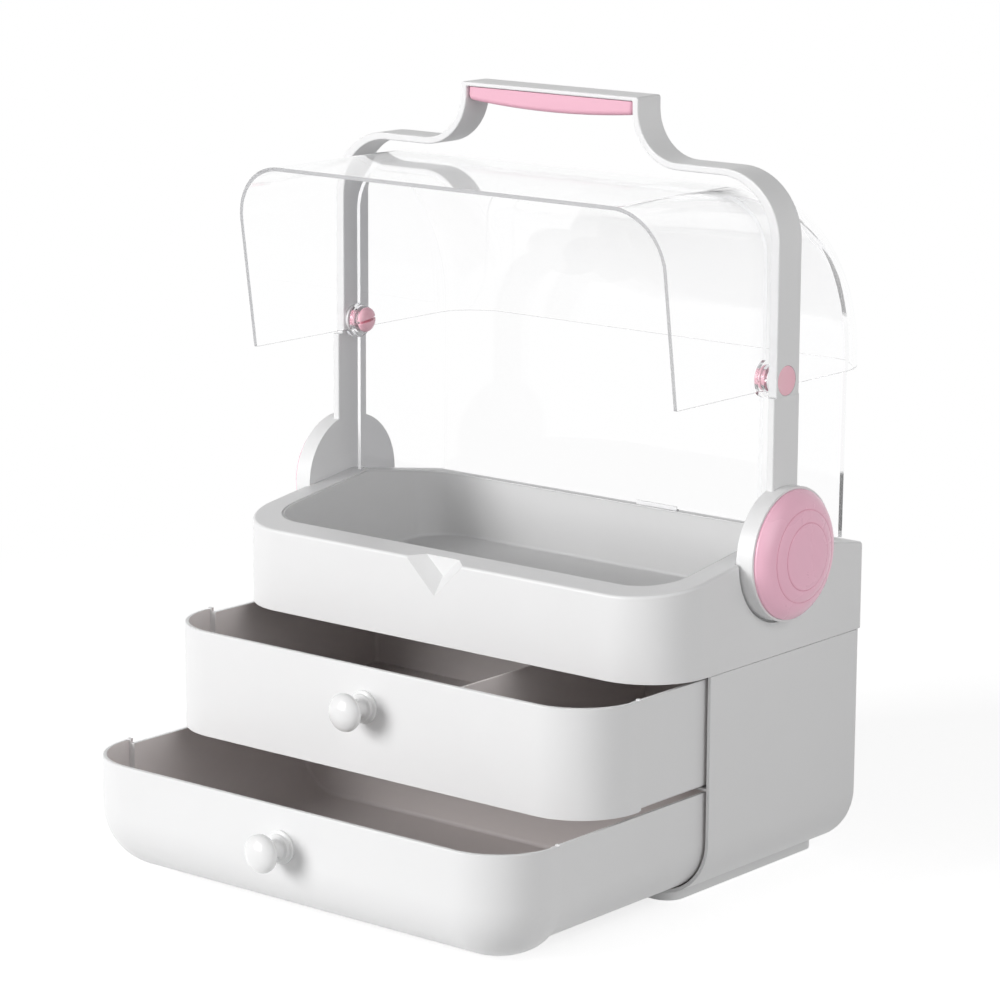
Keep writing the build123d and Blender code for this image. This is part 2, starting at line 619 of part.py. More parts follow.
def arm(side):
    """Lower arm of the handle with the round hub cup at its foot."""
    x0 = ARM_OUT - ARM_T
    top = PIVOT_Z - ARCH_JOINT
    plate = box(x0, ARM_OUT, ARM_FRONT, ARM_FRONT + ARM_D, HUB_Z, top)
    long_edges = plate.edges().filter_by(Axis.Z)
    plate = fillet(long_edges, EDGE_R)
    cup = rod_x(HUB_R, x0, HUB_OUT, PIVOT_Y, HUB_Z)
    cup = fillet(cup.edges().group_by(Axis.X)[-1], EDGE_R / 2)
    part = plate + cup
    part -= rod_x(CAP_R + CAP_FIT, HUB_OUT + CAP_PROUD - CAP_T, HUB_OUT + 1, PIVOT_Y, HUB_Z)
    for y in spigot_places():
        part += rod_x(SPIGOT_R, hub_seat() - TRAY_WALL + HUB_GAP, x0 + ARM_T / 2, y, spigot_z())
    for y in spigot_places():
        part -= rod_x(HUB_SCREW_R + FIT, hub_seat() - 2 * TRAY_WALL, ARM_OUT, y, spigot_z())
    return part if side > 0 else part.mirror(Plane.YZ)


def hub_cap(side):
    """Hollow domed cover set in the hub, stepped down at two rings."""
    edge = (CAP_R, CAP_EDGE)
    outer_top = (RING_R, RING_RISE)
    outer_foot = (RING_R + RING_W, RING_RISE - RING_STEP)
    inner_top = (RING_IN_R, RING_IN_RISE)
    inner_foot = (RING_IN_R + RING_W, RING_IN_RISE - RING_STEP)
    crown = (0, DOME_RISE)
    flat = (CROWN_R, DOME_RISE)
    mid_r = (CAP_R + RING_R) / 2
    shoulder = (mid_r, (CAP_EDGE + RING_RISE) / 2 + CAP_EDGE)
    band = ((RING_R + inner_foot[0]) / 2, (RING_RISE + inner_foot[1] + RING_STEP) / 2)
    disc = ((RING_IN_R + CROWN_R) / 2, DOME_RISE - (DOME_RISE - RING_IN_RISE) * 0.3)
    lines = Polyline(crown, (0, -CAP_T), (CAP_R, -CAP_T), edge)
    lines += ThreePointArc(edge, shoulder, outer_foot)
    lines += Line(outer_foot, outer_top)
    lines += ThreePointArc(outer_top, band, inner_foot)
    lines += Line(inner_foot, inner_top)
    lines += ThreePointArc(inner_top, disc, flat)
    lines += Line(flat, crown)
    w = CAP_WALL
    hollow = Polyline((0, -CAP_T - w), (mid_r - w, -CAP_T - w), (mid_r - w, CAP_EDGE),
                      (RING_R - w, RING_RISE - 2 * w), (RING_IN_R, RING_RISE - w),
                      (0, RING_IN_RISE - w), close=True)
    cap = revolve(make_face(lines), axis=Axis.Y) - revolve(make_face(hollow), axis=Axis.Y)
    cap = Pos(HUB_OUT + CAP_PROUD, PIVOT_Y, HUB_Z) * Rot(0, 0, -90) * cap
    return cap if side > 0 else cap.mirror(Plane.YZ)


def hub_retainer(side):
    """Plate with two screws inside the tray that hold a hub."""
    x1 = hub_seat() - TRAY_WALL
    y0, y1 = spigot_places()
    z = spigot_z()
    reach = SPIGOT_R + RETAINER_RIM
    plate = box(x1 - RETAINER_T, x1, y0 - reach, y1 + reach, z - reach, z + reach)
    plate = fillet(plate.edges().filter_by(Axis.X), RETAINER_RIM)
    for y in (y0, y1):
        plate += rod_x(HUB_SCREW_R, x1 - RETAINER_T / 2, ARM_OUT - HUB_SCREW_GAP, y, z)
    return plate if side > 0 else plate.mirror(Plane.YZ)


def pivot_pin(side):
    """Split pin: flush cap outside, shaft through arch, hood and shell, snap head inside."""
    x_cap = ARM_OUT - PIN_CAP_T
    x_in = SHELL_HALF - CLEAR_T - PIN_SIDE_GAP
    cap = rod_x(PIN_CAP_R, x_cap, ARM_OUT, PIVOT_Y, PIVOT_Z)
    shaft = rod_x(PIN_R, x_in - PIN_HEAD_T, x_cap + PIN_CAP_T / 2, PIVOT_Y, PIVOT_Z)
    head = rod_x(PIN_HEAD_R, x_in - PIN_HEAD_T, x_in, PIVOT_Y, PIVOT_Z)
    head = chamfer(head.edges().group_by(Axis.X)[0], PIN_HEAD_T / 2)
    slot = box(x_in - 2 * PIN_HEAD_T, x_in + PIN_R / 2, PIVOT_Y - 2 * PIN_R, PIVOT_Y + 2 * PIN_R,
               PIVOT_Z - PIN_SLOT / 2, PIVOT_Z + PIN_SLOT / 2)
    part = cap + shaft + head - slot
    return part if side > 0 else part.mirror(Plane.YZ)


def hood_block(half, radius, corner):
    """Solid that the closed hood fills, swept about the pivots and carried down in front."""
    ring = Pos(0, PIVOT_Y + radius / 2) * Rectangle(2 * half, radius)
    ring = fillet(ring.vertices().group_by(Axis.Y)[-1], corner)
    swept = revolve(Pos(0, 0, PIVOT_Z) * ring, axis=PIVOT_AXIS, revolution_arc=180)
    drop = Pos(0, PIVOT_Y - radius / 2) * Rectangle(2 * half, radius)
    drop = fillet(drop.vertices().group_by(Axis.Y)[0], corner)
    back = box(-half, half, PIVOT_Y, PIVOT_Y + HOOD_BACK, POCKET_Z, PIVOT_Z)
    return swept + prism(drop, POCKET_Z, PIVOT_Z) + back


def hood():
    """Clear hood, built closed and then swung back about the pivots."""
    outer = hood_block(HOOD_HALF, HOOD_R, HOOD_CORNER)
    outer = outer & box(-BIG, BIG, -BIG, PIVOT_Y + HOOD_BACK, 0, 2 * BIG)
    outer -= front_roof(HOOD_LAND)
    t = CLEAR_T
    inner = hood_block(HOOD_HALF - t, HOOD_R - t, HOOD_CORNER - t)
    inner += box(t - HOOD_HALF, HOOD_HALF - t, PIVOT_Y, PIVOT_Y + 2 * HOOD_BACK + t, POCKET_Z, PIVOT_Z)
    skin = outer - inner
    for side in (-1, 1):
        skin += rod_x(EAR_R, side * (HOOD_HALF - t), side * HOOD_HALF, PIVOT_Y, PIVOT_Z)
    for side in (-1, 1):
        skin -= rod_x(PIN_R + FIT, side * (HOOD_HALF - 2 * t), side * (HOOD_HALF + t), PIVOT_Y, PIVOT_Z)
    return skin.rotate(PIVOT_AXIS, -90)


def front_roof(lift):
    """Everything under the forward slope of the rim, carried on to the rear."""
    y0 = TRAY_FRONT - TRAY_WALL
    y1 = PIVOT_Y + 4 * HOOD_BACK
    z0 = RIM_Z - ROOF_SLOPE * TRAY_WALL + lift
    z1 = RIM_Z + ROOF_SLOPE * (y1 - TRAY_FRONT) + lift
    return side_prism([(y0, 0), (y0, z0), (y1, z1), (y1, 0)], BIG)


def shell_block(inset):
    """Solid of the rear shell: arched front view crossed with its side view."""
    half = SHELL_HALF - inset
    corner = SHELL_CORNER - inset
    top = SHELL_TOP - inset
    front = Rectangle(2 * half, top - POCKET_Z)
    front = fillet(front.vertices().group_by(Axis.Y)[-1], corner)
    front = Plane.XZ * (Pos(0, (top + POCKET_Z) / 2) * front)
    face_y = PIVOT_Y - SHELL_LEAD - (0 if inset == 0 else 4 * CLEAR_T)
    arched = extrude(front, BIG, both=True)
    r = SHELL_R - inset
    y_rear = SHELL_ARC_Y + r
    y_foot = SHELL_FOOT_Y - inset
    dy = face_y - SHELL_ARC_Y
    z_lead = PIVOT_Z + (r * r - dy * dy) ** 0.5
    mid = (SHELL_ARC_Y + r * 0.7071, PIVOT_Z + r * 0.7071)
    arc = ThreePointArc((face_y, z_lead), mid, (y_rear, PIVOT_Z))
    line = Polyline((y_rear, PIVOT_Z), (y_foot, POCKET_Z), (face_y, POCKET_Z), (face_y, z_lead))
    side = extrude(Plane.YZ * make_face(arc + line), BIG, both=True)
    swing = CLEAR_T + SHELL_GAP + inset
    sweep = hood_block(HOOD_HALF - swing, HOOD_R - swing, HOOD_CORNER - swing)
    low = box(-half, half, face_y - CLEAR_T, PIVOT_Y + BIG, POCKET_Z, PIVOT_Z)
    return arched & side & (sweep + low)


def rear_shell():
    """Clear fixed shell behind the pivots, just above the tray rim."""
    shell = shell_block(0) - shell_block(CLEAR_T)
    shell -= roof(SHELL_LAND)
    clip_y = SHELL_FOOT_Y - CLEAR_T
    z = RIDGE_Z - ROOF_FALL * (SHELL_FOOT_Y - PIVOT_Y)
    clip = box(CLIP_X - CLIP_W / 2, CLIP_X + CLIP_W / 2, clip_y, SHELL_FOOT_Y, z - CLIP_H, z + CLIP_H)
    shell += clip - roof(0)
    for side in (-1, 1):
        shell += rod_x(EAR_R, side * (SHELL_HALF - CLEAR_T), side * SHELL_HALF, PIVOT_Y, PIVOT_Z)
        spacer = HOOD_HALF - CLEAR_T - PIN_SIDE_GAP
        shell += rod_x(PIN_CAP_R, side * (SHELL_HALF - CLEAR_T / 2), side * spacer, PIVOT_Y, PIVOT_Z)
    for side in (-1, 1):
        shell -= rod_x(PIN_R + FIT, side * (SHELL_HALF - 2 * CLEAR_T), side * HOOD_HALF, PIVOT_Y, PIVOT_Z)
    return shell


def drawn(shape, distance):
    """Drawer piece moved out to its resting place."""
    return Pos(0, -distance, 0) * shape


pieces = {
    "body_shell": body_shell(),
    "base_plinth": base_plinth(),
    "drawer_shelf": drawer_shelf(),
    "tray_casing": tray_casing(),
    "tray_liner": tray_liner(),
    "handle_arch": handle_arch(),
    "handle_grip": handle_grip(),
    "arm_left": arm(-1),
    "arm_right": arm(1),
    "hub_cap_left": hub_cap(-1),
    "hub_cap_right": hub_cap(1),
    "hub_retainer_left": hub_retainer(-1),
    "hub_retainer_right": hub_retainer(1),
    "pivot_pin_left": pivot_pin(-1),
    "pivot_pin_right": pivot_pin(1),
    "hood": hood(),
    "rear_shell": rear_shell(),
    "upper_drawer_front": drawn(drawer_front(False), UPPER_OPEN),
    "upper_drawer_box": drawn(drawer_box(False), UPPER_OPEN),
    "upper_drawer_divider": drawn(upper_drawer_divider(), UPPER_OPEN),
    "upper_knob": drawn(knob(UPPER_KNOB_Z), UPPER_OPEN),
    "upper_knob_screw": drawn(knob_screw(UPPER_KNOB_Z), UPPER_OPEN),
    "lower_drawer_front": drawn(drawer_front(True), LOWER_OPEN),
    "lower_drawer_box": drawn(drawer_box(True), LOWER_OPEN),
    "lower_knob": drawn(knob(LOWER_KNOB_Z), LOWER_OPEN),
    "lower_knob_screw": drawn(knob_screw(LOWER_KNOB_Z), LOWER_OPEN),
}
for name, shape in pieces.items():
    export_step(shape, f"parts/{name}.step")
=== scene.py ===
"""Makeup storage case with a carrying handle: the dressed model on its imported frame."""

import logging
import math
from dataclasses import dataclass
from enum import Enum
from typing import Callable, Sequence

import bmesh
import bpy
from mathutils import Matrix, Vector


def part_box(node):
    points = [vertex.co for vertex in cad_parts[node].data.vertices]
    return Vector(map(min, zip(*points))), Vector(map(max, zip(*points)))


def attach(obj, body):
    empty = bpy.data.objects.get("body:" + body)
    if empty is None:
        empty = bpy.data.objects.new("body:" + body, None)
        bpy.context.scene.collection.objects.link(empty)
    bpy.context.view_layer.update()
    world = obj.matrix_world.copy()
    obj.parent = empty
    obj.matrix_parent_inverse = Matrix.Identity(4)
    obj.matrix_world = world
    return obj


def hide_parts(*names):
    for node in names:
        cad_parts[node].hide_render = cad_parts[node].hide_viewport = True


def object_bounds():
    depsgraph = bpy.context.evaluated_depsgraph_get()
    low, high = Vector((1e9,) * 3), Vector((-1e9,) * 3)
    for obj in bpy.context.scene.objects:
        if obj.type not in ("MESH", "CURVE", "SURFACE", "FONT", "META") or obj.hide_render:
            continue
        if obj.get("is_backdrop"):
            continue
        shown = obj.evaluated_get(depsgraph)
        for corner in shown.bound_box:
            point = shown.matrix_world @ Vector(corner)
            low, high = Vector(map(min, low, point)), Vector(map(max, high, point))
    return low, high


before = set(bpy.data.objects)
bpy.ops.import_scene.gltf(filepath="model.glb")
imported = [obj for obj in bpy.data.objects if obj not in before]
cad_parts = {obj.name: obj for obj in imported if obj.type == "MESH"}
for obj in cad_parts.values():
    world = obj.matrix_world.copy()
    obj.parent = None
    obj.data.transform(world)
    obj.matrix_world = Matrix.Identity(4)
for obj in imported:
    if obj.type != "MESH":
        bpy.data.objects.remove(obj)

CAD_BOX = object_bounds()
LOG = logging.getLogger("makeup_case")
MM = 0.001
IMAGE_SIDE = 1000.0

Colour = tuple[float, float, float]
Point = tuple[float, float, float]
Pair = tuple[float, float]
Socket = bpy.types.NodeSocket


@dataclass(frozen=True)
class Limits:
    """Limits used when meshes are cleaned and dressed; lengths in mm, angles in degrees.

    Attributes:
        cad_merge: CAD vertices this close are one.
        turned_merge: points of a turned mesh this close are one.
        flat: CAD faces whose directions differ by less are joined.
        bevel: least angle of an edge that is rounded.
        bevel_steps: steps of the rounding.
        sharp: least angle of an edge that is shaded sharp.
        turned_sharp: the same on a turned piece.
        rim_facing: least cosine between a rim face and its direction.
        rim_breadth: greatest breadth of a rim face.
        rim_area: least area of a rim face, in square mm.
        hollow_depth: least distance of a hollow's heart from the planes of its faces.
    """

    cad_merge: float = 0.004
    turned_merge: float = 0.002
    flat: float = 0.15
    bevel: float = 33.0
    bevel_steps: int = 2
    sharp: float = 50.0
    turned_sharp: float = 48.0
    rim_facing: float = 0.99995
    rim_breadth: float = 2.3
    rim_area: float = 15.0
    hollow_depth: float = 0.004


LIMITS = Limits()


class Body(Enum):
    """Bodies of the frame that the pieces ride on."""

    CASE = "case"
    HOOD = "hood"
    UPPER = "upper_drawer"
    LOWER = "lower_drawer"


class Slot(Enum):
    """Material slots of the record."""

    CASE = "case_plastic"
    INNER = "inner_plastic"
    KNOB = "knob_plastic"
    PINK = "pink_plastic"
    GRIP = "pink_grip"
    CLEAR = "clear_plastic"
    STEEL = "steel"


class Way(Enum):
    """Directions that a turned piece faces, as angle in degrees and axis of its turn from +Z."""

    RIGHT = (90, "Y")
    LEFT = (-90, "Y")
    FRONT = (90, "X")

    @property
    def turn(self) -> Matrix:
        """The turn as a matrix."""
        angle, axis = self.value
        return Matrix.Rotation(math.radians(angle), 4, axis)


class Side(Enum):
    """The two ends of the case."""

    LEFT = -1
    RIGHT = 1

    @property
    def word(self) -> str:
        """Name of the end as node names write it."""
        return self.name.lower()

    @property
    def way(self) -> Way:
        """Outward direction of the end."""
        return Way[self.name]


# ---------------------------------------------------------------- materials


class Graph:
    """Small helper that adds and joins nodes in one node tree."""

    def __init__(self, tree: bpy.types.NodeTree) -> None:
        """Keep the node tree to fill."""
        self.tree = tree

    def add(self, kind: str, values: dict | None = None, **settings: object) -> bpy.types.Node:
        """Add a node.

        Args:
            kind: Blender's node type.
            values: input values by socket name or index.
            settings: properties of the node itself.

        Returns:
            The new node.
        """
        node = self.tree.nodes.new(kind)
        for key, value in settings.items():
            setattr(node, key, value)
        for key, value in (values or {}).items():
            node.inputs[key].default_value = value
        return node

    def join(self, source: Socket, target: Socket) -> None:
        """Link an output socket to an input socket."""
        self.tree.links.new(source, target)

    def maths(self, operation: str, first: Socket | float, second: Socket | float) -> Socket:
        """Add a maths node on sockets or numbers.

        Args:
            operation: Blender's name of the operation.
            first: a socket or a number.
            second: a socket or a number.

        Returns:
            The node's output socket.
        """
        node = self.add("ShaderNodeMath", operation=operation)
        for index, value in enumerate((first, second)):
            if isinstance(value, (int, float)):
                node.inputs[index].default_value = value
            else:
                self.join(value, node.inputs[index])
        return node.outputs[0]


def open_group(name: str, inputs: Sequence[tuple[str, str, object]],
               outputs: Sequence[tuple[str, str]]) -> tuple:
    """Make an empty shader node group with its sockets.

    Args:
        name: name of the group.
        inputs: name, socket type and default value of each input.
        outputs: name and socket type of each output.

    Returns:
        The group, its graph, and its input and output nodes.
    """
    group = bpy.data.node_groups.new(name, "ShaderNodeTree")
    for label, kind, default in inputs:
        socket = group.interface.new_socket(label, in_out="INPUT", socket_type=kind)
        if default is not None:
            socket.default_value = default
    for label, kind in outputs:
        group.interface.new_socket(label, in_out="OUTPUT", socket_type=kind)
    graph = Graph(group)
    return group, graph, graph.add("NodeGroupInput"), graph.add("NodeGroupOutput")


def moulded_skin() -> bpy.types.NodeTree:
    """Build the group for moulded plastic: clouding of the colour, gloss spread and fine grain.

    Returns:
        The node group.
    """
    group, graph, source, target = open_group(
        "moulded_skin",
        [("Position", "NodeSocketVector", None), ("Tint", "NodeSocketColor", (0.8, 0.8, 0.8, 1)),
         ("Clouding", "NodeSocketFloat", 0.02), ("Cloud Scale", "NodeSocketFloat", 18.0),
         ("Roughness", "NodeSocketFloat", 0.35), ("Gloss Spread", "NodeSocketFloat", 0.06),
         ("Grain Scale", "NodeSocketFloat", 1400.0)],
        [("Color", "NodeSocketColor"), ("Roughness", "NodeSocketFloat"),
         ("Height", "NodeSocketFloat")])
    cloud = graph.add("ShaderNodeTexNoise", {"Detail": 3.0, "Roughness": 0.55})
    grain = graph.add("ShaderNodeTexNoise", {"Detail": 2.0, "Roughness": 0.6})
    for node, label in ((cloud, "Cloud Scale"), (grain, "Grain Scale")):
        graph.join(source.outputs["Position"], node.inputs["Vector"])
        graph.join(source.outputs[label], node.inputs["Scale"])
    lean = graph.maths("SUBTRACT", cloud.outputs["Fac"], 0.5)
    shade = graph.maths("ADD", graph.maths("MULTIPLY", lean, source.outputs["Clouding"]), 1.0)
    tone = graph.add("ShaderNodeVectorMath", operation="SCALE")
    graph.join(source.outputs["Tint"], tone.inputs[0])
    graph.join(shade, tone.inputs["Scale"])
    graph.join(tone.outputs[0], target.inputs["Color"])
    spread = graph.maths("MULTIPLY", lean, source.outputs["Gloss Spread"])
    rough = graph.maths("ADD", source.outputs["Roughness"], spread)
    graph.join(rough, target.inputs["Roughness"])
    graph.join(grain.outputs["Fac"], target.inputs["Height"])
    return group


def handling_wear() -> bpy.types.NodeTree:
    """Build the group for light handling wear: patches that are a little duller than the rest.

    Returns:
        The node group.
    """
    group, graph, source, target = open_group(
        "handling_wear",
        [("Position", "NodeSocketVector", None), ("Roughness", "NodeSocketFloat", 0.05),
         ("Patch Scale", "NodeSocketFloat", 35.0), ("Dulling", "NodeSocketFloat", 0.05)],
        [("Roughness", "NodeSocketFloat")])
    patch = graph.add("ShaderNodeTexNoise", {"Detail": 4.0, "Roughness": 0.6, "Distortion": 0.4})
    graph.join(source.outputs["Position"], patch.inputs["Vector"])
    graph.join(source.outputs["Patch Scale"], patch.inputs["Scale"])
    ramp = graph.add("ShaderNodeMapRange", {"From Min": 0.5, "From Max": 0.8},
                     interpolation_type="SMOOTHSTEP")
    graph.join(patch.outputs["Fac"], ramp.inputs["Value"])
    dull = graph.maths("MULTIPLY", ramp.outputs[0], source.outputs["Dulling"])
    graph.join(graph.maths("ADD", dull, source.outputs["Roughness"]), target.inputs["Roughness"])
    return group


class Trees:
    """The shared node trees, each built once."""

    made: dict[str, bpy.types.NodeTree] = {}

    @classmethod
    def get(cls, build: Callable[[], bpy.types.NodeTree]) -> bpy.types.NodeTree:
        """Return the tree that a function builds, building it the first time.

        Args:
            build: the function.

        Returns:
            The node tree.
        """
        if build.__name__ not in cls.made:
            cls.made[build.__name__] = build()
        return cls.made[build.__name__]


class Surface:
    """A new material with its shader, its output and its object coordinates."""

    def __init__(self, name: str) -> None:
        """Make the material.

        Args:
            name: name of the material.
        """
        self.material = bpy.data.materials.new(name)
        self.material.use_nodes = True
        self.material.node_tree.nodes.clear()
        self.graph = Graph(self.material.node_tree)
        self.shader = self.graph.add("ShaderNodeBsdfPrincipled")
        self.output = self.graph.add("ShaderNodeOutputMaterial")
        self.graph.join(self.shader.outputs[0], self.output.inputs["Surface"])
        self.position = self.graph.add("ShaderNodeTexCoord").outputs["Object"]

    def skin(self, values: dict[str, object]) -> bpy.types.Node:
        """Add the moulded skin and let it colour the shader.

        Args:
            values: input values of the group.

        Returns:
            The group's node.
        """
        node = self.graph.add("ShaderNodeGroup", values, node_tree=Trees.get(moulded_skin))
        self.graph.join(self.position, node.inputs["Position"])
        self.graph.join(node.outputs["Color"], self.shader.inputs["Base Color"])
        return node

    def wear(self, values: dict[str, object]) -> bpy.types.Node:
        """Add the handling wear and let it set the shader's roughness.

        Args:
            values: input values of the group.

        Returns:
            The group's node.
        """
        node = self.graph.add("ShaderNodeGroup", values, node_tree=Trees.get(handling_wear))
        self.graph.join(self.position, node.inputs["Position"])
        self.graph.join(node.outputs["Roughness"], self.shader.inputs["Roughness"])
        return node


@dataclass(frozen=True)
class MouldedPlastic:
    """Opaque moulded plastic with a fine grain."""

    name: str
    tint: Colour
    roughness: float = 0.34
    spread: float = 0.08
    clouding: float = 0.03
    cloud_scale: float = 16.0
    grain_scale: float = 1500.0
    grain_depth: float = 0.00001
    grain_strength: float = 0.5
    coat: float = 0.0
    coat_roughness: float = 0.12
    dulling: float = 0.06

    def build(self) -> bpy.types.Material:
        """Make the material.

        Returns:
            The material.
        """
        surface = Surface(self.name)
        graph, shader = surface.graph, surface.shader
        skin = surface.skin({
            "Tint": (*self.tint, 1), "Clouding": self.clouding, "Cloud Scale": self.cloud_scale,
            "Roughness": self.roughness, "Gloss Spread": self.spread,
            "Grain Scale": self.grain_scale})
        wear = surface.wear({"Dulling": self.dulling})
        graph.join(skin.outputs["Roughness"], wear.inputs["Roughness"])
        bump = graph.add("ShaderNodeBump",
                         {"Strength": self.grain_strength, "Distance": self.grain_depth})
        graph.join(skin.outputs["Height"], bump.inputs["Height"])
        graph.join(bump.outputs[0], shader.inputs["Normal"])
        shader.inputs["Coat Weight"].default_value = self.coat
        shader.inputs["Coat Roughness"].default_value = self.coat_roughness
        return surface.material


@dataclass(frozen=True)
class ClearPlastic:
    """Clear moulded plastic that lets the lamps through.

    Attributes:
        shadow: how much light its shadow keeps.
        mirror: share of its plain reflection that is kept.
        most_turns: bounces inside a wall, past which a ray goes straight on.
    """

    name: str
    tint: Colour
    roughness: float = 0.02
    dulling: float = 0.03
    transmission: float = 1.0
    ior: float = 1.49
    shadow: Colour = (0.95, 0.95, 0.955)
    mirror: float = 1.0
    most_turns: float = 2.5

    def build(self) -> bpy.types.Material:
        """Make the material.

        Returns:
            The material.
        """
        surface = Surface(self.name)
        graph, shader = surface.graph, surface.shader
        shader.inputs["Base Color"].default_value = (*self.tint, 1)
        shader.inputs["Transmission Weight"].default_value = self.transmission
        shader.inputs["IOR"].default_value = self.ior
        shader.inputs["Specular Tint"].default_value = (self.mirror, self.mirror, self.mirror, 1)
        surface.wear({"Roughness": self.roughness, "Dulling": self.dulling})
        clear = graph.add("ShaderNodeBsdfTransparent", {"Color": (*self.shadow, 1)})
        path = graph.add("ShaderNodeLightPath")
        blend = graph.add("ShaderNodeMixShader")
        either = graph.maths("MAXIMUM", path.outputs["Is Shadow Ray"],
                             path.outputs["Is Diffuse Ray"])
        trapped = graph.maths("GREATER_THAN", path.outputs["Glossy Depth"], self.most_turns)
        graph.join(graph.maths("MAXIMUM", either, trapped), blend.inputs[0])
        graph.join(shader.outputs[0], blend.inputs[1])
        graph.join(clear.outputs[0], blend.inputs[2])
        graph.join(blend.outputs[0], surface.output.inputs["Surface"])
        return surface.material


@dataclass(frozen=True)
class PlatedSteel:
    """Zinc plated steel with a faint brushing."""

    name: str
    tint: Colour = (0.62, 0.62, 0.64)
    roughness: float = 0.32
    spread: float = 0.2
    clouding: float = 0.15
    cloud_scale: float = 240.0

    def build(self) -> bpy.types.Material:
        """Make the material.

        Returns:
            The material.
        """
        surface = Surface(self.name)
        surface.shader.inputs["Metallic"].default_value = 1.0
        skin = surface.skin({
            "Tint": (*self.tint, 1), "Clouding": self.clouding, "Cloud Scale": self.cloud_scale,
            "Roughness": self.roughness, "Gloss Spread": self.spread})
        surface.graph.join(skin.outputs["Roughness"], surface.shader.inputs["Roughness"])
        return surface.material


class Finish(Enum):
    """All finishes of the case."""

    CASE = MouldedPlastic("white_case_plastic", (0.81, 0.81, 0.812))
    INNER = MouldedPlastic("inner_satin_plastic", (0.70, 0.70, 0.70), roughness=0.5)
    # Darker brownish grey on the faces inside the drawers and the body: painted shade in the
    # hollows, the plastic itself is white
    WELL_SHADE = MouldedPlastic("hollow_painted_shade", (0.73, 0.685, 0.675), roughness=0.5,
                          clouding=0.06)
    KNOB = MouldedPlastic("knob_gloss_plastic", (0.83, 0.83, 0.83), roughness=0.2, coat=0.25)
    PINK = MouldedPlastic("pink_cover_plastic", (1.0, 0.56, 0.70), roughness=0.27)
    PIN = MouldedPlastic("pink_pin_plastic", (1.0, 0.57, 0.66), roughness=0.24)
    GRIP = MouldedPlastic("pink_soft_grip", (0.80, 0.43, 0.54), roughness=0.46,
                          grain_depth=0.00003)
    LINE = MouldedPlastic("ring_line_plastic", (0.84, 0.41, 0.53), roughness=0.45)
    CLEAR = ClearPlastic("clear_hood_plastic", (0.999, 0.999, 1.0), mirror=0.3)
    # Grey on the hood's rim faces, standing in for the dark line that refraction gives along a
    # clear edge: painted shade
    EDGE = ClearPlastic("clear_rim_painted_shade", (0.50, 0.50, 0.51), roughness=0.25, transmission=0.4,
                        shadow=(0.9, 0.9, 0.9))
    # Near-white on the rear shell's rim faces, standing in for the bright line that light gives
    # along its front edge: painted highlight
    PALE_EDGE = ClearPlastic("clear_rim_painted_highlight", (0.94, 0.94, 0.945), roughness=0.4,
                             transmission=0.15, shadow=(0.9, 0.9, 0.9))
    STEEL = PlatedSteel("plated_steel")

    @property
    def material(self) -> bpy.types.Material:
        """The finish's material, built on first use."""
        return bpy.data.materials.get(self.value.name) or self.value.build()


# ---------------------------------------------------------------- meshes


def mesh_object(name: str, bm: bmesh.types.BMesh,
                finishes: Sequence[Finish]) -> bpy.types.Object:
    """Turn a bmesh into an object at the origin.

    Args:
        name: name of the piece.
        bm: the mesh, freed here.
        finishes: its finishes in slot order.

    Returns:
        The object.
    """
    mesh = bpy.data.meshes.new(name)
    bm.to_mesh(mesh)
    bm.free()
    obj = bpy.data.objects.new(name, mesh)
    bpy.context.scene.collection.objects.link(obj)
    for finish in finishes:
        mesh.materials.append(finish.material)
    return obj


def apply_modifiers(obj: bpy.types.Object) -> None:
    """Replace an object's mesh by its evaluated one and drop its modifiers.

    Args:
        obj: the object.
    """
    graph = bpy.context.evaluated_depsgraph_get()
    mesh = bpy.data.meshes.new_from_object(obj.evaluated_get(graph))
    obj.modifiers.clear()
    old = obj.data
    mesh.name = obj.name
    obj.data = mesh
    bpy.data.meshes.remove(old)


def soften(obj: bpy.types.Object, width: float, angle: float = LIMITS.bevel) -> None:
    """Round an object's sharp edges and weight its normals.

    Args:
        obj: the object.
        width: width of the rounding in mm.
        angle: least angle in degrees of an edge that is rounded.
    """
    obj.data.shade_smooth()
    bevel = obj.modifiers.new("edge", "BEVEL")
    bevel.width = width * MM
    bevel.segments = LIMITS.bevel_steps
    bevel.limit_method = "ANGLE"
    bevel.angle_limit = math.radians(angle)
    bevel.use_clamp_overlap = True
    weight = obj.modifiers.new("normals", "WEIGHTED_NORMAL")
    weight.keep_sharp = True
    apply_modifiers(obj)
    obj.data.set_sharp_from_angle(angle=math.radians(LIMITS.sharp))


def mark_rims(bm: bmesh.types.BMesh, rims: Sequence[Point]) -> None:
    """Give the second finish, a painted edge shade or a painted edge highlight, to the narrow
    faces along the rims of a thin wall.

    Args:
        bm: the mesh.
        rims: outward directions of the rim faces.
    """
    for direction in rims:
        way = Vector(direction).normalized()
        for face in bm.faces:
            area = face.calc_area()
            narrow = 2 * area / face.calc_perimeter() < LIMITS.rim_breadth * MM
            wide = area > LIMITS.rim_area * MM * MM
            if narrow and wide and face.normal.dot(way) > LIMITS.rim_facing:
                face.material_index = 1


def shade_hollow_faces(bm: bmesh.types.BMesh, heart: Point) -> None:
    """Give the second finish, a painted shade, to the faces that look to a point in the hollow.

    Args:
        bm: the mesh.
        heart: the point in mm, below the brim.
    """
    middle = Vector(heart) * MM
    for face in bm.faces:
        depth = face.normal.dot(middle - face.calc_center_median())
        if depth > LIMITS.hollow_depth * MM:
            face.material_index = 1


def dress(obj: bpy.types.Object, body: Body, slot: Slot, *nodes: str) -> None:
    """Hand a finished piece to the frame and report it.

    Args:
        obj: the piece.
        body: the body it rides on.
        slot: the record's slot of its finish; not used.
        nodes: CAD nodes that it stands for.
    """
    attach(obj, body.value)
    if nodes:
        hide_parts(*nodes)
    LOG.info("%s: %d faces on %s", obj.name, len(obj.data.polygons), body.value)


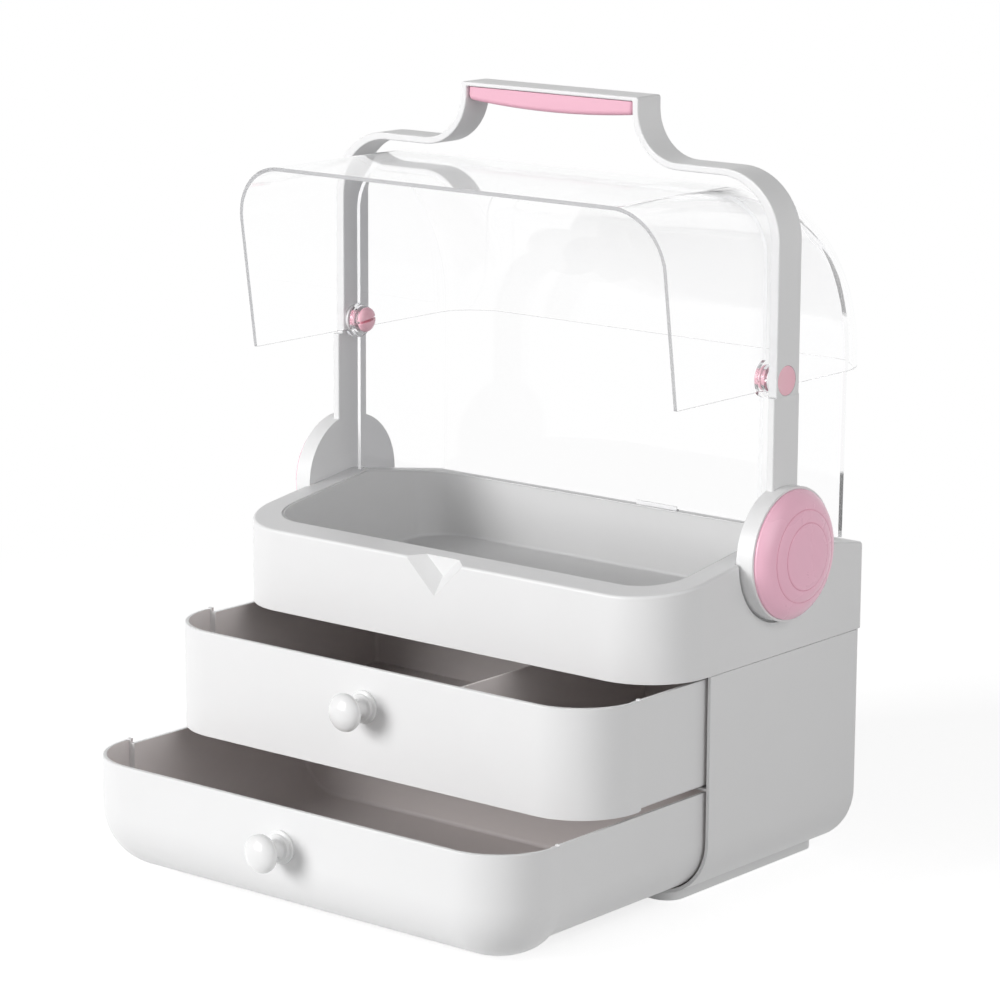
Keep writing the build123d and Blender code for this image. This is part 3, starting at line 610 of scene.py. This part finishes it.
def dress_node(node: str, name: str, body: Body, slot: Slot, finishes: Sequence[Finish],
               width: float, rims: Sequence[Point] = (), heart: Point | None = None) -> None:
    """Dress a CAD node: a merged copy with rounded edges and smooth normals.

    Args:
        node: name of the CAD node.
        name: name of the piece.
        body: the body it rides on.
        slot: the record's slot of its finish; not used.
        finishes: its finishes; the second one is painted edge shade or painted edge highlight on
            the rims, and painted shade on the faces of the hollow.
        width: rounding of its sharp edges in mm.
        rims: outward directions of the rim faces.
        heart: a point in mm inside the hollow, below its brim.
    """
    bm = bmesh.new()
    bm.from_mesh(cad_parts[node].data)
    merge = LIMITS.cad_merge * MM
    bmesh.ops.remove_doubles(bm, verts=bm.verts, dist=merge)
    bmesh.ops.dissolve_degenerate(bm, edges=bm.edges, dist=merge)
    bmesh.ops.dissolve_limit(bm, angle_limit=math.radians(LIMITS.flat), verts=bm.verts,
                             edges=bm.edges)
    for face in bm.faces:
        face.material_index = 0
    mark_rims(bm, rims)
    if heart:
        shade_hollow_faces(bm, heart)
    obj = mesh_object(name, bm, finishes)
    soften(obj, width)
    dress(obj, body, slot, node)


def unit_arc(start: float, end: float, steps: int) -> list[Pair]:
    """Points of an arc of radius 1 about the origin.

    Args:
        start: first angle in degrees.
        end: last angle in degrees.
        steps: number of steps.

    Returns:
        The points from start to end.
    """
    turns = [math.radians(start + (end - start) * i / steps) for i in range(steps + 1)]
    return [(math.cos(t), math.sin(t)) for t in turns]


def spun(points: Sequence[Point], axis: Point, steps: int) -> bmesh.types.BMesh:
    """Spin a line of points about an axis through the origin.

    Args:
        points: the points in mm, from axis to axis.
        axis: direction of the axis.
        steps: segments round the axis.

    Returns:
        The closed mesh.
    """
    bm = bmesh.new()
    verts = [bm.verts.new([v * MM for v in point]) for point in points]
    edges = [bm.edges.new(pair) for pair in zip(verts, verts[1:])]
    bmesh.ops.spin(bm, geom=verts + edges, cent=(0, 0, 0), axis=axis, angle=math.tau,
                   steps=steps, use_merge=True, use_duplicate=False)
    bmesh.ops.remove_doubles(bm, verts=bm.verts, dist=LIMITS.turned_merge * MM)
    return bm


def turned(name: str, profile: Sequence[Pair], centre: Point, way: Way, finish: Finish,
           steps: int) -> bpy.types.Object:
    """Turn a closed profile about an axis.

    Args:
        name: name of the piece.
        profile: distance from the axis and place along it, in mm, from axis to axis.
        centre: a point of the axis in mm.
        way: the way that the profile's places run.
        finish: its finish.
        steps: segments round the axis.

    Returns:
        The object.
    """
    bm = spun([(r, 0, s) for r, s in profile], (0, 0, 1), steps)
    bm.transform(Matrix.Translation(Vector(centre) * MM) @ way.turn)
    bmesh.ops.recalc_face_normals(bm, faces=bm.faces)
    obj = mesh_object(name, bm, [finish])
    obj.data.shade_smooth()
    obj.data.set_sharp_from_angle(angle=math.radians(LIMITS.turned_sharp))
    return obj


# ---------------------------------------------------------------- geometry nodes


def ring_steps_tree() -> bpy.types.NodeTree:
    """Build the tree that lays two thin rings round a dome about the X axis.

    Returns:
        The node tree.
    """
    tree = bpy.data.node_groups.new("ring_steps", "GeometryNodeTree")
    sizes = ("Outer Radius", "Inner Radius", "Outer Place", "Inner Place", "Bead")
    for label, kind in (("Geometry", "NodeSocketGeometry"),
                        *((size, "NodeSocketFloat") for size in sizes),
                        ("Centre", "NodeSocketVector"), ("Finish", "NodeSocketMaterial")):
        tree.interface.new_socket(label, in_out="INPUT", socket_type=kind)
    tree.interface.new_socket("Geometry", in_out="OUTPUT", socket_type="NodeSocketGeometry")
    graph = Graph(tree)
    source, target = graph.add("NodeGroupInput"), graph.add("NodeGroupOutput")
    bead = graph.add("GeometryNodeCurvePrimitiveCircle", {"Resolution": 10})
    graph.join(source.outputs["Bead"], bead.inputs["Radius"])
    both = graph.add("GeometryNodeJoinGeometry")
    for which in ("Outer", "Inner"):
        circle = graph.add("GeometryNodeCurvePrimitiveCircle", {"Resolution": 96})
        graph.join(source.outputs[f"{which} Radius"], circle.inputs["Radius"])
        tube = graph.add("GeometryNodeCurveToMesh")
        graph.join(circle.outputs["Curve"], tube.inputs["Curve"])
        graph.join(bead.outputs["Curve"], tube.inputs["Profile Curve"])
        place = graph.add("ShaderNodeCombineXYZ")
        graph.join(source.outputs[f"{which} Place"], place.inputs["X"])
        shift = graph.add("ShaderNodeVectorMath", operation="ADD")
        graph.join(place.outputs[0], shift.inputs[0])
        graph.join(source.outputs["Centre"], shift.inputs[1])
        move = graph.add("GeometryNodeTransform", {"Rotation": (0, math.pi / 2, 0)})
        graph.join(tube.outputs[0], move.inputs["Geometry"])
        graph.join(shift.outputs[0], move.inputs["Translation"])
        graph.join(move.outputs[0], both.inputs[0])
    real = graph.add("GeometryNodeRealizeInstances")
    paint = graph.add("GeometryNodeSetMaterial")
    graph.join(both.outputs[0], real.inputs[0])
    graph.join(real.outputs[0], paint.inputs["Geometry"])
    graph.join(source.outputs["Finish"], paint.inputs["Material"])
    graph.join(paint.outputs[0], target.inputs[0])
    return tree


def grown(name: str, tree: bpy.types.NodeTree, values: dict[str, object]) -> bpy.types.Object:
    """Run a geometry node tree once and keep its plain mesh.

    Args:
        name: name of the piece.
        tree: the node tree.
        values: its inputs by name.

    Returns:
        The object with the finished mesh.
    """
    obj = bpy.data.objects.new(name, bpy.data.meshes.new(name))
    bpy.context.scene.collection.objects.link(obj)
    modifier = obj.modifiers.new("grow", "NODES")
    modifier.node_group = tree
    for item in tree.interface.items_tree:
        if item.item_type == "SOCKET" and item.in_out == "INPUT" and item.name in values:
            modifier[item.identifier] = values[item.name]
    apply_modifiers(obj)
    obj.data.shade_smooth()
    return obj


# ---------------------------------------------------------------- sub-assemblies


@dataclass
class LowerCase:
    """Body of the case with its plinth and the shelf between the drawers."""

    edge: float = 0.35
    heart: Point = (0.0, 20.0, 60.0)

    def build(self) -> None:
        """Make and hand over the pieces."""
        # the body's faces that look into the drawer bay get painted shade
        dress_node("body_shell", "case_body", Body.CASE, Slot.CASE, [Finish.CASE, Finish.WELL_SHADE],
                   self.edge, heart=self.heart)
        dress_node("base_plinth", "case_plinth", Body.CASE, Slot.CASE, [Finish.CASE], self.edge)
        dress_node("drawer_shelf", "bay_shelf", Body.CASE, Slot.INNER, [Finish.INNER], self.edge)


@dataclass
class Tray:
    """Upper tray with its pocket."""

    edge: float = 0.45

    def build(self) -> None:
        """Make and hand over the pieces."""
        dress_node("tray_casing", "tray_casing_skin", Body.CASE, Slot.CASE, [Finish.CASE],
                   self.edge)
        dress_node("tray_liner", "tray_pocket", Body.CASE, Slot.INNER, [Finish.INNER], self.edge)


@dataclass
class Hub:
    """Round hub at the foot of the handle with its domed cover; lengths in mm.

    Attributes:
        rim_out: distance of the hub's rim from the middle of the case.
        skirt: depth of the cover behind the rim.
        rim: height of the cover's edge over the rim.
        rim_round: rounding of the cover's edge.
        rim_break: part of that rounding that is cut at its corner.
        rings: radius and height of the two steps of the dome.
        step: height of a step.
        groove: breadth of the groove at the foot of a step.
        foot: breadth of the slope at the foot of a step.
        blend: rounding of a step's two corners.
        crest: distance from a step's radius to the top of its rounding.
        crown: radius and height of the flat middle.
        rises: how far the dome bulges before the first step, before the second and inside it.
        bead: radius of a ring line.
        line_out: distance of a ring line from its step's radius.
    """

    side: Side
    radius: float = 31.85
    rim_out: float = 147.5
    skirt: float = 3.5
    rim: float = 0.8
    rim_round: float = 0.4
    rim_break: float = 0.1
    rings: tuple[Pair, Pair] = ((22.4, 6.7), (16.2, 8.5))
    step: float = 0.35
    groove: float = 0.45
    blend: float = 0.08
    foot: float = 0.2
    crest: float = 0.12
    crown: Pair = (9.0, 8.95)
    rises: tuple[float, ...] = (0.95, 0.28, 0.12)
    bead: float = 0.22
    line_out: float = 0.4
    centre_y: float = 10.85
    centre_z: float = 169.65
    arm_edge: float = 0.4
    plate_edge: float = 0.2
    segments: int = 128

    def profile(self) -> list[Pair]:
        """Section of the cover as distance from its axis and height over the hub's rim.

        Returns:
            The points from the back of the skirt to the crown.
        """
        points = [(0.0, -self.skirt), (self.radius, -self.skirt),
                  (self.radius, self.rim - self.rim_round),
                  (self.radius - self.crest, self.rim - self.rim_break),
                  (self.radius - self.rim_round, self.rim + self.crest)]
        for (radius, height), rise in zip(self.rings, self.rises):
            points += self.bulge(points[-1], (radius + self.groove, height - self.step), rise)
            points += [(radius + self.foot, height - self.step + self.blend),
                       (radius + self.blend, height - self.blend),
                       (radius - self.crest, height)]
        points += self.bulge(points[-1], self.crown, self.rises[-1])
        points.append((0.0, self.crown[1]))
        return points

    def bulge(self, start: Pair, end: Pair, rise: float, steps: int = 10) -> list[Pair]:
        """Points of a curve that bulges outward between two points.

        Args:
            start: first point, left out.
            end: last point, kept.
            rise: how far the middle lies off the straight line.
            steps: number of steps.

        Returns:
            The points after the start.
        """
        way = Vector((end[0] - start[0], end[1] - start[1]))
        out = Vector((-way.y, way.x)).normalized()
        out = out if out.y > 0 else -out
        points = []
        for i in range(1, steps + 1):
            t = i / steps
            place = Vector(start) + way * t + out * (4 * rise * t * (1 - t))
            points.append((place.x, place.y))
        return points

    def build(self) -> None:
        """Make and hand over the arm, the cover with its ring lines, and the retainer."""
        word, sign = self.side.word, self.side.value
        dress_node(f"arm_{word}", f"handle_arm_{word}", Body.CASE, Slot.CASE, [Finish.CASE],
                   self.arm_edge)
        centre = (sign * self.rim_out, self.centre_y, self.centre_z)
        cover = turned(f"hub_cover_{word}", self.profile(), centre, self.side.way, Finish.PINK,
                       self.segments)
        dress(cover, Body.CASE, Slot.PINK, f"hub_cap_{word}")
        values = {"Bead": self.bead * MM, "Centre": tuple(v * MM for v in centre),
                  "Finish": Finish.LINE.material}
        for which, (radius, height) in zip(("Outer", "Inner"), self.rings):
            values[f"{which} Radius"] = (radius + self.line_out) * MM
            values[f"{which} Place"] = sign * (height - self.step) * MM
        lines = grown(f"hub_ring_lines_{word}", Trees.get(ring_steps_tree), values)
        dress(lines, Body.CASE, Slot.PINK)
        dress_node(f"hub_retainer_{word}", f"hub_plate_{word}", Body.CASE, Slot.STEEL,
                   [Finish.STEEL], self.plate_edge)


@dataclass
class SplitPin:
    """Split pin of a pivot with its flush cap and its two-lobed head; lengths in mm.

    Attributes:
        cap_out: distance of the cap's face from the middle of the case.
        cap_edge: the cap's rounding and the edge of its dish, as steps inward and down.
        shaft: radius of the shaft.
        root: how far the shaft starts inside the head.
        head_out: distance of the head's back from the middle of the case.
        head_ease: chamfer of the head's back, inward and along the axis.
        head_band: length of the head's straight part.
        slot: gap between the lobes.
        tilt: turn of the gap in degrees.
    """

    side: Side
    cap_radius: float = 7.25
    cap_out: float = 141.48
    cap_depth: float = 2.0
    cap_edge: tuple[Pair, ...] = ((0.0, 0.35), (0.1, 0.1), (0.35, 0.0), (1.3, 0.0), (1.6, 0.25))
    shaft: float = 4.0
    root: float = 0.2
    head_out: float = 127.8
    head_depth: float = 3.55
    head_radius: float = 6.4
    head_ease: Pair = (0.3, 0.35)
    head_band: float = 1.0
    slot: float = 1.3
    tilt: float = 10.0
    centre_y: float = 10.85
    centre_z: float = 254.1
    edge: float = 0.12
    edge_angle: float = 40.0
    segments: int = 64

    def cap_profile(self) -> list[Pair]:
        """Section of the cap and the shaft, from the head's back to the cap's face.

        Returns:
            The points as distance from the axis and place along it.
        """
        low, start = self.cap_out - self.cap_depth, self.head_out - self.root
        points = [(0.0, start), (self.shaft, start), (self.shaft, low), (self.cap_radius, low)]
        points += [(self.cap_radius - inward, self.cap_out - down)
                   for inward, down in self.cap_edge]
        points.append((0.0, points[-1][1]))
        return points

    def lobe(self, up: int) -> bmesh.types.BMesh:
        """Make one half of the head on the right side.

        Args:
            up: 1 for the upper lobe, -1 for the lower one.

        Returns:
            The half as a mesh.
        """
        radius, foot, band = self.head_radius, self.head_out, self.head_band
        inward, along = self.head_ease
        points = [(foot, 0, 0.0), (foot, 0, radius - inward), (foot - along, 0, radius),
                  (foot - band, 0, radius)]
        points += [(foot - band - (self.head_depth - band) * rise, 0, radius * out)
                   for out, rise in unit_arc(0, 90, 10)[1:]]
        bm = spun(points, (1, 0, 0), self.segments)
        cut = bmesh.ops.bisect_plane(bm, geom=bm.verts[:] + bm.edges[:] + bm.faces[:],
                                     plane_co=(0, 0, up * self.slot / 2 * MM),
                                     plane_no=(0, 0, up), clear_inner=True)
        rim = [e for e in cut["geom_cut"] if isinstance(e, bmesh.types.BMEdge)]
        bmesh.ops.contextual_create(bm, geom=rim)
        bmesh.ops.recalc_face_normals(bm, faces=bm.faces)
        turn = Matrix.Rotation(math.radians(self.tilt), 4, "X")
        bm.transform(Matrix.Translation((0, self.centre_y * MM, self.centre_z * MM)) @ turn)
        return bm

    def build(self) -> None:
        """Make and hand over the pin."""
        centre = (0.0, self.centre_y, self.centre_z)
        pin = turned(f"split_pin_{self.side.word}", self.cap_profile(), centre, self.side.way,
                     Finish.PIN, self.segments)
        bm = bmesh.new()
        bm.from_mesh(pin.data)
        for up in (1, -1):
            half = self.lobe(up)
            if self.side is Side.LEFT:
                half.transform(Matrix.Scale(-1, 4, (1, 0, 0)))
                bmesh.ops.reverse_faces(half, faces=half.faces)
            spare = bpy.data.meshes.new("lobe")
            half.to_mesh(spare)
            half.free()
            bm.from_mesh(spare)
            bpy.data.meshes.remove(spare)
        bm.to_mesh(pin.data)
        bm.free()
        soften(pin, self.edge, self.edge_angle)
        dress(pin, Body.CASE, Slot.PINK, f"pivot_pin_{self.side.word}")


@dataclass
class Handle:
    """Arch of the handle with its grip and the split pins."""

    arch_edge: float = 0.35
    grip_edge: float = 0.5

    def build(self) -> None:
        """Make and hand over the pieces."""
        dress_node("handle_arch", "handle_arch_band", Body.CASE, Slot.CASE, [Finish.CASE],
                   self.arch_edge)
        dress_node("handle_grip", "handle_soft_grip", Body.CASE, Slot.GRIP, [Finish.GRIP],
                   self.grip_edge)
        for side in Side:
            SplitPin(side).build()


@dataclass
class ClearCovers:
    """The swing-back hood and the fixed shell behind it; slopes as rise over run."""

    edge: float = 0.25
    forward_slope: float = 0.143
    rear_slope: float = 0.165

    def build(self) -> None:
        """Make and hand over the pieces."""
        # the hood's rim faces get painted grey edge shade, the rear shell's rim faces a painted
        # white edge highlight
        dress_node("hood", "clear_hood", Body.HOOD, Slot.CLEAR, [Finish.CLEAR, Finish.EDGE],
                   self.edge, rims=[(0, -1, -self.forward_slope), (0, 0, -1)])
        dress_node("rear_shell", "clear_rear_shell", Body.CASE, Slot.CLEAR,
                   [Finish.CLEAR, Finish.PALE_EDGE], self.edge,
                   rims=[(0, -1, 0), (0, self.forward_slope, -1), (0, -self.rear_slope, -1)])


@dataclass
class BallKnob:
    """Knob with a flattened ball on a stepped base, turned about its Y axis; lengths in mm.

    Attributes:
        ball: radius of the ball across the axis.
        half: half of its thickness along the axis.
        reach: distance of its middle from the drawer's front.
        base: radius and thickness of the base.
        collar: radius and thickness of the collar on it.
        base_edge: rounding of the base's front edge, as steps inward and down.
        collar_edge: the same for the collar.
        waist: line of the neck, as steps out of the neck's radius and up from the collar.
        back_edge: rounding at the back of the base, inward and along the axis.
        ease: rounding at the foot of the collar.
        bore: radius of the hole for the screw.
    """

    body: Body
    ball: float = 9.47
    half: float = 5.2
    reach: float = 14.2
    neck: float = 4.55
    base: Pair = (8.25, 1.6)
    collar: Pair = (6.65, 1.6)
    base_edge: tuple[Pair, ...] = ((0.0, 0.5), (0.08, 0.25), (0.25, 0.08), (0.5, 0.0))
    collar_edge: tuple[Pair, ...] = ((0.0, 0.6), (0.1, 0.3), (0.3, 0.1), (0.6, 0.0))
    waist: tuple[Pair, ...] = ((0.5, 0.0), (0.15, 0.15), (-0.1, 0.6), (-0.3, 2.0), (-0.25, 3.6))
    back_edge: Pair = (0.1, 0.15)
    ease: float = 0.12
    bore: float = 1.6
    bore_depth: float = 8.05
    ball_steps: int = 48
    segments: int = 96

    def profile(self) -> list[Pair]:
        """Section of the knob, from the floor of its bore to the front of the ball.

        Returns:
            The points as distance from the axis and place in front of the drawer.
        """
        (base, low), (collar, thickness) = self.base, self.collar
        top = low + thickness
        inward, along = self.back_edge
        points = [(0.0, self.bore_depth), (self.bore, self.bore_depth), (self.bore, 0.0),
                  (base - inward, 0.0), (base, along)]
        points += [(base - x, low - y) for x, y in self.base_edge]
        points += [(collar + self.ease, low), (collar, low + self.ease)]
        points += [(collar - x, top - y) for x, y in self.collar_edge]
        points += [(self.neck + x, top + y) for x, y in self.waist]
        meet = math.degrees(math.asin(self.neck / self.ball))
        points += [(max(out * self.ball, 0.0), self.reach + rise * self.half)
                   for out, rise in unit_arc(meet - 90, 90, self.ball_steps)]
        return points

    def build(self, level: str) -> None:
        """Make and hand over the knob.

        Args:
            level: "upper" or "lower".
        """
        low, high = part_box(f"{level}_knob")
        centre = (0.0, high[1] / MM, (low[2] + high[2]) / 2 / MM)
        knob = turned(f"{level}_ball_knob", self.profile(), centre, Way.FRONT, Finish.KNOB,
                      self.segments)
        dress(knob, self.body, Slot.KNOB, f"{level}_knob")


@dataclass
class Drawer:
    """One drawer: front, box and knob, with a divider in the upper one; lengths in mm.

    Attributes:
        depth: how far below the brim of the box the heart of its hollow is taken.
    """

    body: Body
    edge: float = 0.35
    screw_edge: float = 0.1
    divider_edge: float = 0.3
    depth: float = 4.0

    def build(self) -> None:
        """Make and hand over the pieces."""
        level = self.body.name.lower()
        low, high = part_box(f"{level}_drawer_box")
        heart = (0.0, (low[1] + high[1]) / 2 / MM, high[2] / MM - self.depth)
        # faces of the front and the box that look into the drawer get painted shade
        both = [Finish.CASE, Finish.WELL_SHADE]
        dress_node(f"{level}_drawer_front", f"{level}_front_skin", self.body, Slot.CASE, both,
                   self.edge, heart=heart)
        dress_node(f"{level}_drawer_box", f"{level}_box_skin", self.body, Slot.INNER, both,
                   self.edge, heart=heart)
        BallKnob(self.body).build(level)
        dress_node(f"{level}_knob_screw", f"{level}_screw", self.body, Slot.STEEL,
                   [Finish.STEEL], self.screw_edge)
        if self.body is Body.UPPER:
            # the divider is painted all over with the shade of the drawer's hollow
            dress_node("upper_drawer_divider", "upper_partition", self.body, Slot.INNER,
                       [Finish.WELL_SHADE], self.divider_edge)


# ---------------------------------------------------------------- studio


@dataclass
class Viewpoint:
    """Camera at the viewing angle of the photograph; lengths in mm, angles in degrees."""

    azimuth: float = 39.50
    elevation: float = 12.26
    roll: float = 0.26
    distance: float = 1910.9
    aim: Point = (0.0, -35.5, 182.1)
    focal_pixels: float = 3849.1
    centre_px: Pair = (496.8, 502.3)
    sensor: float = 36.0
    farthest: float = 50000.0

    def build(self) -> None:
        """Make the scene's camera."""
        az, el, roll = (math.radians(v) for v in (self.azimuth, self.elevation, self.roll))
        back = Vector((math.sin(az) * math.cos(el), -math.cos(az) * math.cos(el), math.sin(el)))
        right = Vector((math.cos(az), math.sin(az), 0.0))
        up = back.cross(right)
        tilted_right = right * math.cos(roll) + up * math.sin(roll)
        tilted_up = up * math.cos(roll) - right * math.sin(roll)
        data = bpy.data.cameras.new("photo_camera")
        data.sensor_width = self.sensor
        data.lens = self.focal_pixels / IMAGE_SIDE * self.sensor
        data.shift_x = 0.5 - self.centre_px[0] / IMAGE_SIDE
        data.shift_y = self.centre_px[1] / IMAGE_SIDE - 0.5
        data.clip_end = self.farthest * MM
        camera = bpy.data.objects.new("photo_camera", data)
        place = (Vector(self.aim) + back * self.distance) * MM
        turn = Matrix((tilted_right, tilted_up, back)).transposed()
        camera.matrix_world = Matrix.Translation(place) @ turn.to_4x4()
        bpy.context.scene.collection.objects.link(camera)
        bpy.context.scene.camera = camera


@dataclass(frozen=True)
class Softbox:
    """Square soft lamp; place and aim in metres, power in watts."""

    name: str
    place: Point
    aim: Point
    size: float
    power: float

    def build(self) -> None:
        """Add the lamp to the scene."""
        data = bpy.data.lights.new(self.name, "AREA")
        data.shape = "SQUARE"
        data.size = self.size
        data.energy = self.power
        lamp = bpy.data.objects.new(self.name, data)
        way = Vector(self.aim) - Vector(self.place)
        turn = way.to_track_quat("-Z", "Y").to_matrix().to_4x4()
        lamp.matrix_world = Matrix.Translation(self.place) @ turn
        bpy.context.scene.collection.objects.link(lamp)


@dataclass
class Studio:
    """Pale floor, white background and soft lamps; lengths in metres.

    Attributes:
        ambient: strength of the world's light at the horizon.
        dimming: how much weaker it is straight above.
        floor_tone: grey of the floor as a surface.
        floor_lift: brightness that the floor gets where it is only looked at.
        fade_start: distance from the object at which the floor starts to turn white.
        fade_end: distance at which it is white.
    """

    ambient: float = 0.61
    dimming: float = 0.50
    floor_half: float = 6.0
    floor_tone: float = 0.68
    floor_lift: float = 0.71
    fade_start: float = 0.32
    fade_end: float = 0.75
    lamps: tuple[Softbox, ...] = (
        Softbox("key_softbox", (-1.35, -3.1, 1.05), (0.0, -0.05, 0.17), 1.55, 90.0),
        Softbox("right_fill", (2.0, -0.3, 1.0), (0.0, 0.0, 0.28), 1.4, 11.0),
    )

    def build(self) -> None:
        """Make the world, the floor and the lamps."""
        self.world()
        self.floor()
        for lamp in self.lamps:
            lamp.build()
        bpy.context.scene.view_settings.view_transform = "Standard"

    def seen(self, graph: Graph) -> Socket:
        """Add the test for rays that see the background.

        Args:
            graph: the graph to add it to.

        Returns:
            A socket that is 1 for camera, glossy and transmission rays.
        """
        path = graph.add("ShaderNodeLightPath")
        first = graph.maths("MAXIMUM", path.outputs["Is Camera Ray"],
                            path.outputs["Is Glossy Ray"])
        return graph.maths("MAXIMUM", first, path.outputs["Is Transmission Ray"])

    def world(self) -> None:
        """Make the world: white where it is seen, dimmer as a light."""
        world = bpy.data.worlds.new("studio_world")
        world.use_nodes = True
        world.node_tree.nodes.clear()
        graph = Graph(world.node_tree)
        background = graph.add("ShaderNodeBackground", {"Color": (1, 1, 1, 1)})
        place = graph.add("ShaderNodeTexCoord")
        split = graph.add("ShaderNodeSeparateXYZ")
        graph.join(place.outputs["Generated"], split.inputs[0])
        height = graph.maths("MAXIMUM", split.outputs["Z"], 0.0)
        light = graph.maths("SUBTRACT", self.ambient,
                            graph.maths("MULTIPLY", height, self.dimming))
        seen = self.seen(graph)
        unseen = graph.maths("SUBTRACT", 1.0, seen)
        level = graph.maths("ADD", seen, graph.maths("MULTIPLY", unseen, light))
        graph.join(level, background.inputs["Strength"])
        output = graph.add("ShaderNodeOutputWorld")
        graph.join(background.outputs[0], output.inputs["Surface"])
        bpy.context.scene.world = world

    def floor(self) -> None:
        """Make the pale floor that turns to white away from the object."""
        half = self.floor_half
        corners = ((-half, -half, 0), (half, -half, 0), (half, half, 0), (-half, half, 0))
        mesh = bpy.data.meshes.new("pale_floor")
        mesh.from_pydata(corners, [], [range(len(corners))])
        obj = bpy.data.objects.new("pale_floor", mesh)
        bpy.context.scene.collection.objects.link(obj)
        mesh.materials.append(self.paper())
        obj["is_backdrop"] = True

    def paper(self) -> bpy.types.Material:
        """Make the floor's material.

        Returns:
            The material.
        """
        material = bpy.data.materials.new("floor_paper")
        material.use_nodes = True
        material.node_tree.nodes.clear()
        graph = Graph(material.node_tree)
        place = graph.add("ShaderNodeTexCoord")
        length = graph.add("ShaderNodeVectorMath", operation="LENGTH")
        graph.join(place.outputs["Object"], length.inputs[0])
        fade = graph.add("ShaderNodeMapRange",
                         {"From Min": self.fade_start, "From Max": self.fade_end},
                         interpolation_type="SMOOTHSTEP")
        graph.join(length.outputs["Value"], fade.inputs["Value"])
        tone = self.floor_tone
        paper = graph.add("ShaderNodeBsdfDiffuse", {"Color": (tone, tone, tone, 1)})
        white = graph.add("ShaderNodeEmission", {"Color": (1, 1, 1, 1), "Strength": 1.0})
        lift = graph.add("ShaderNodeEmission", {"Color": (1, 1, 1, 1)})
        seen = self.seen(graph)
        graph.join(graph.maths("MULTIPLY", seen, self.floor_lift), lift.inputs["Strength"])
        both = graph.add("ShaderNodeAddShader")
        graph.join(paper.outputs[0], both.inputs[0])
        graph.join(lift.outputs[0], both.inputs[1])
        blend = graph.add("ShaderNodeMixShader")
        graph.join(graph.maths("MULTIPLY", seen, fade.outputs[0]), blend.inputs[0])
        graph.join(both.outputs[0], blend.inputs[1])
        graph.join(white.outputs[0], blend.inputs[2])
        output = graph.add("ShaderNodeOutputMaterial")
        graph.join(blend.outputs[0], output.inputs["Surface"])
        return material


def write_sizes() -> None:
    boxes = {"cad": CAD_BOX, "visual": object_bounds()}
    {key: [list(map(float, corner)) for corner in box] for key, box in boxes.items()}


def main() -> None:
    """Build the studio and the case."""
    logging.basicConfig(level=logging.INFO, format="%(message)s")
    for part in (Viewpoint(), Studio(), LowerCase(), Tray(), Hub(Side.LEFT), Hub(Side.RIGHT),
                 Handle(), ClearCovers(), Drawer(Body.UPPER), Drawer(Body.LOWER)):
        part.build()
    write_sizes()


if __name__ == "__main__":
    main()
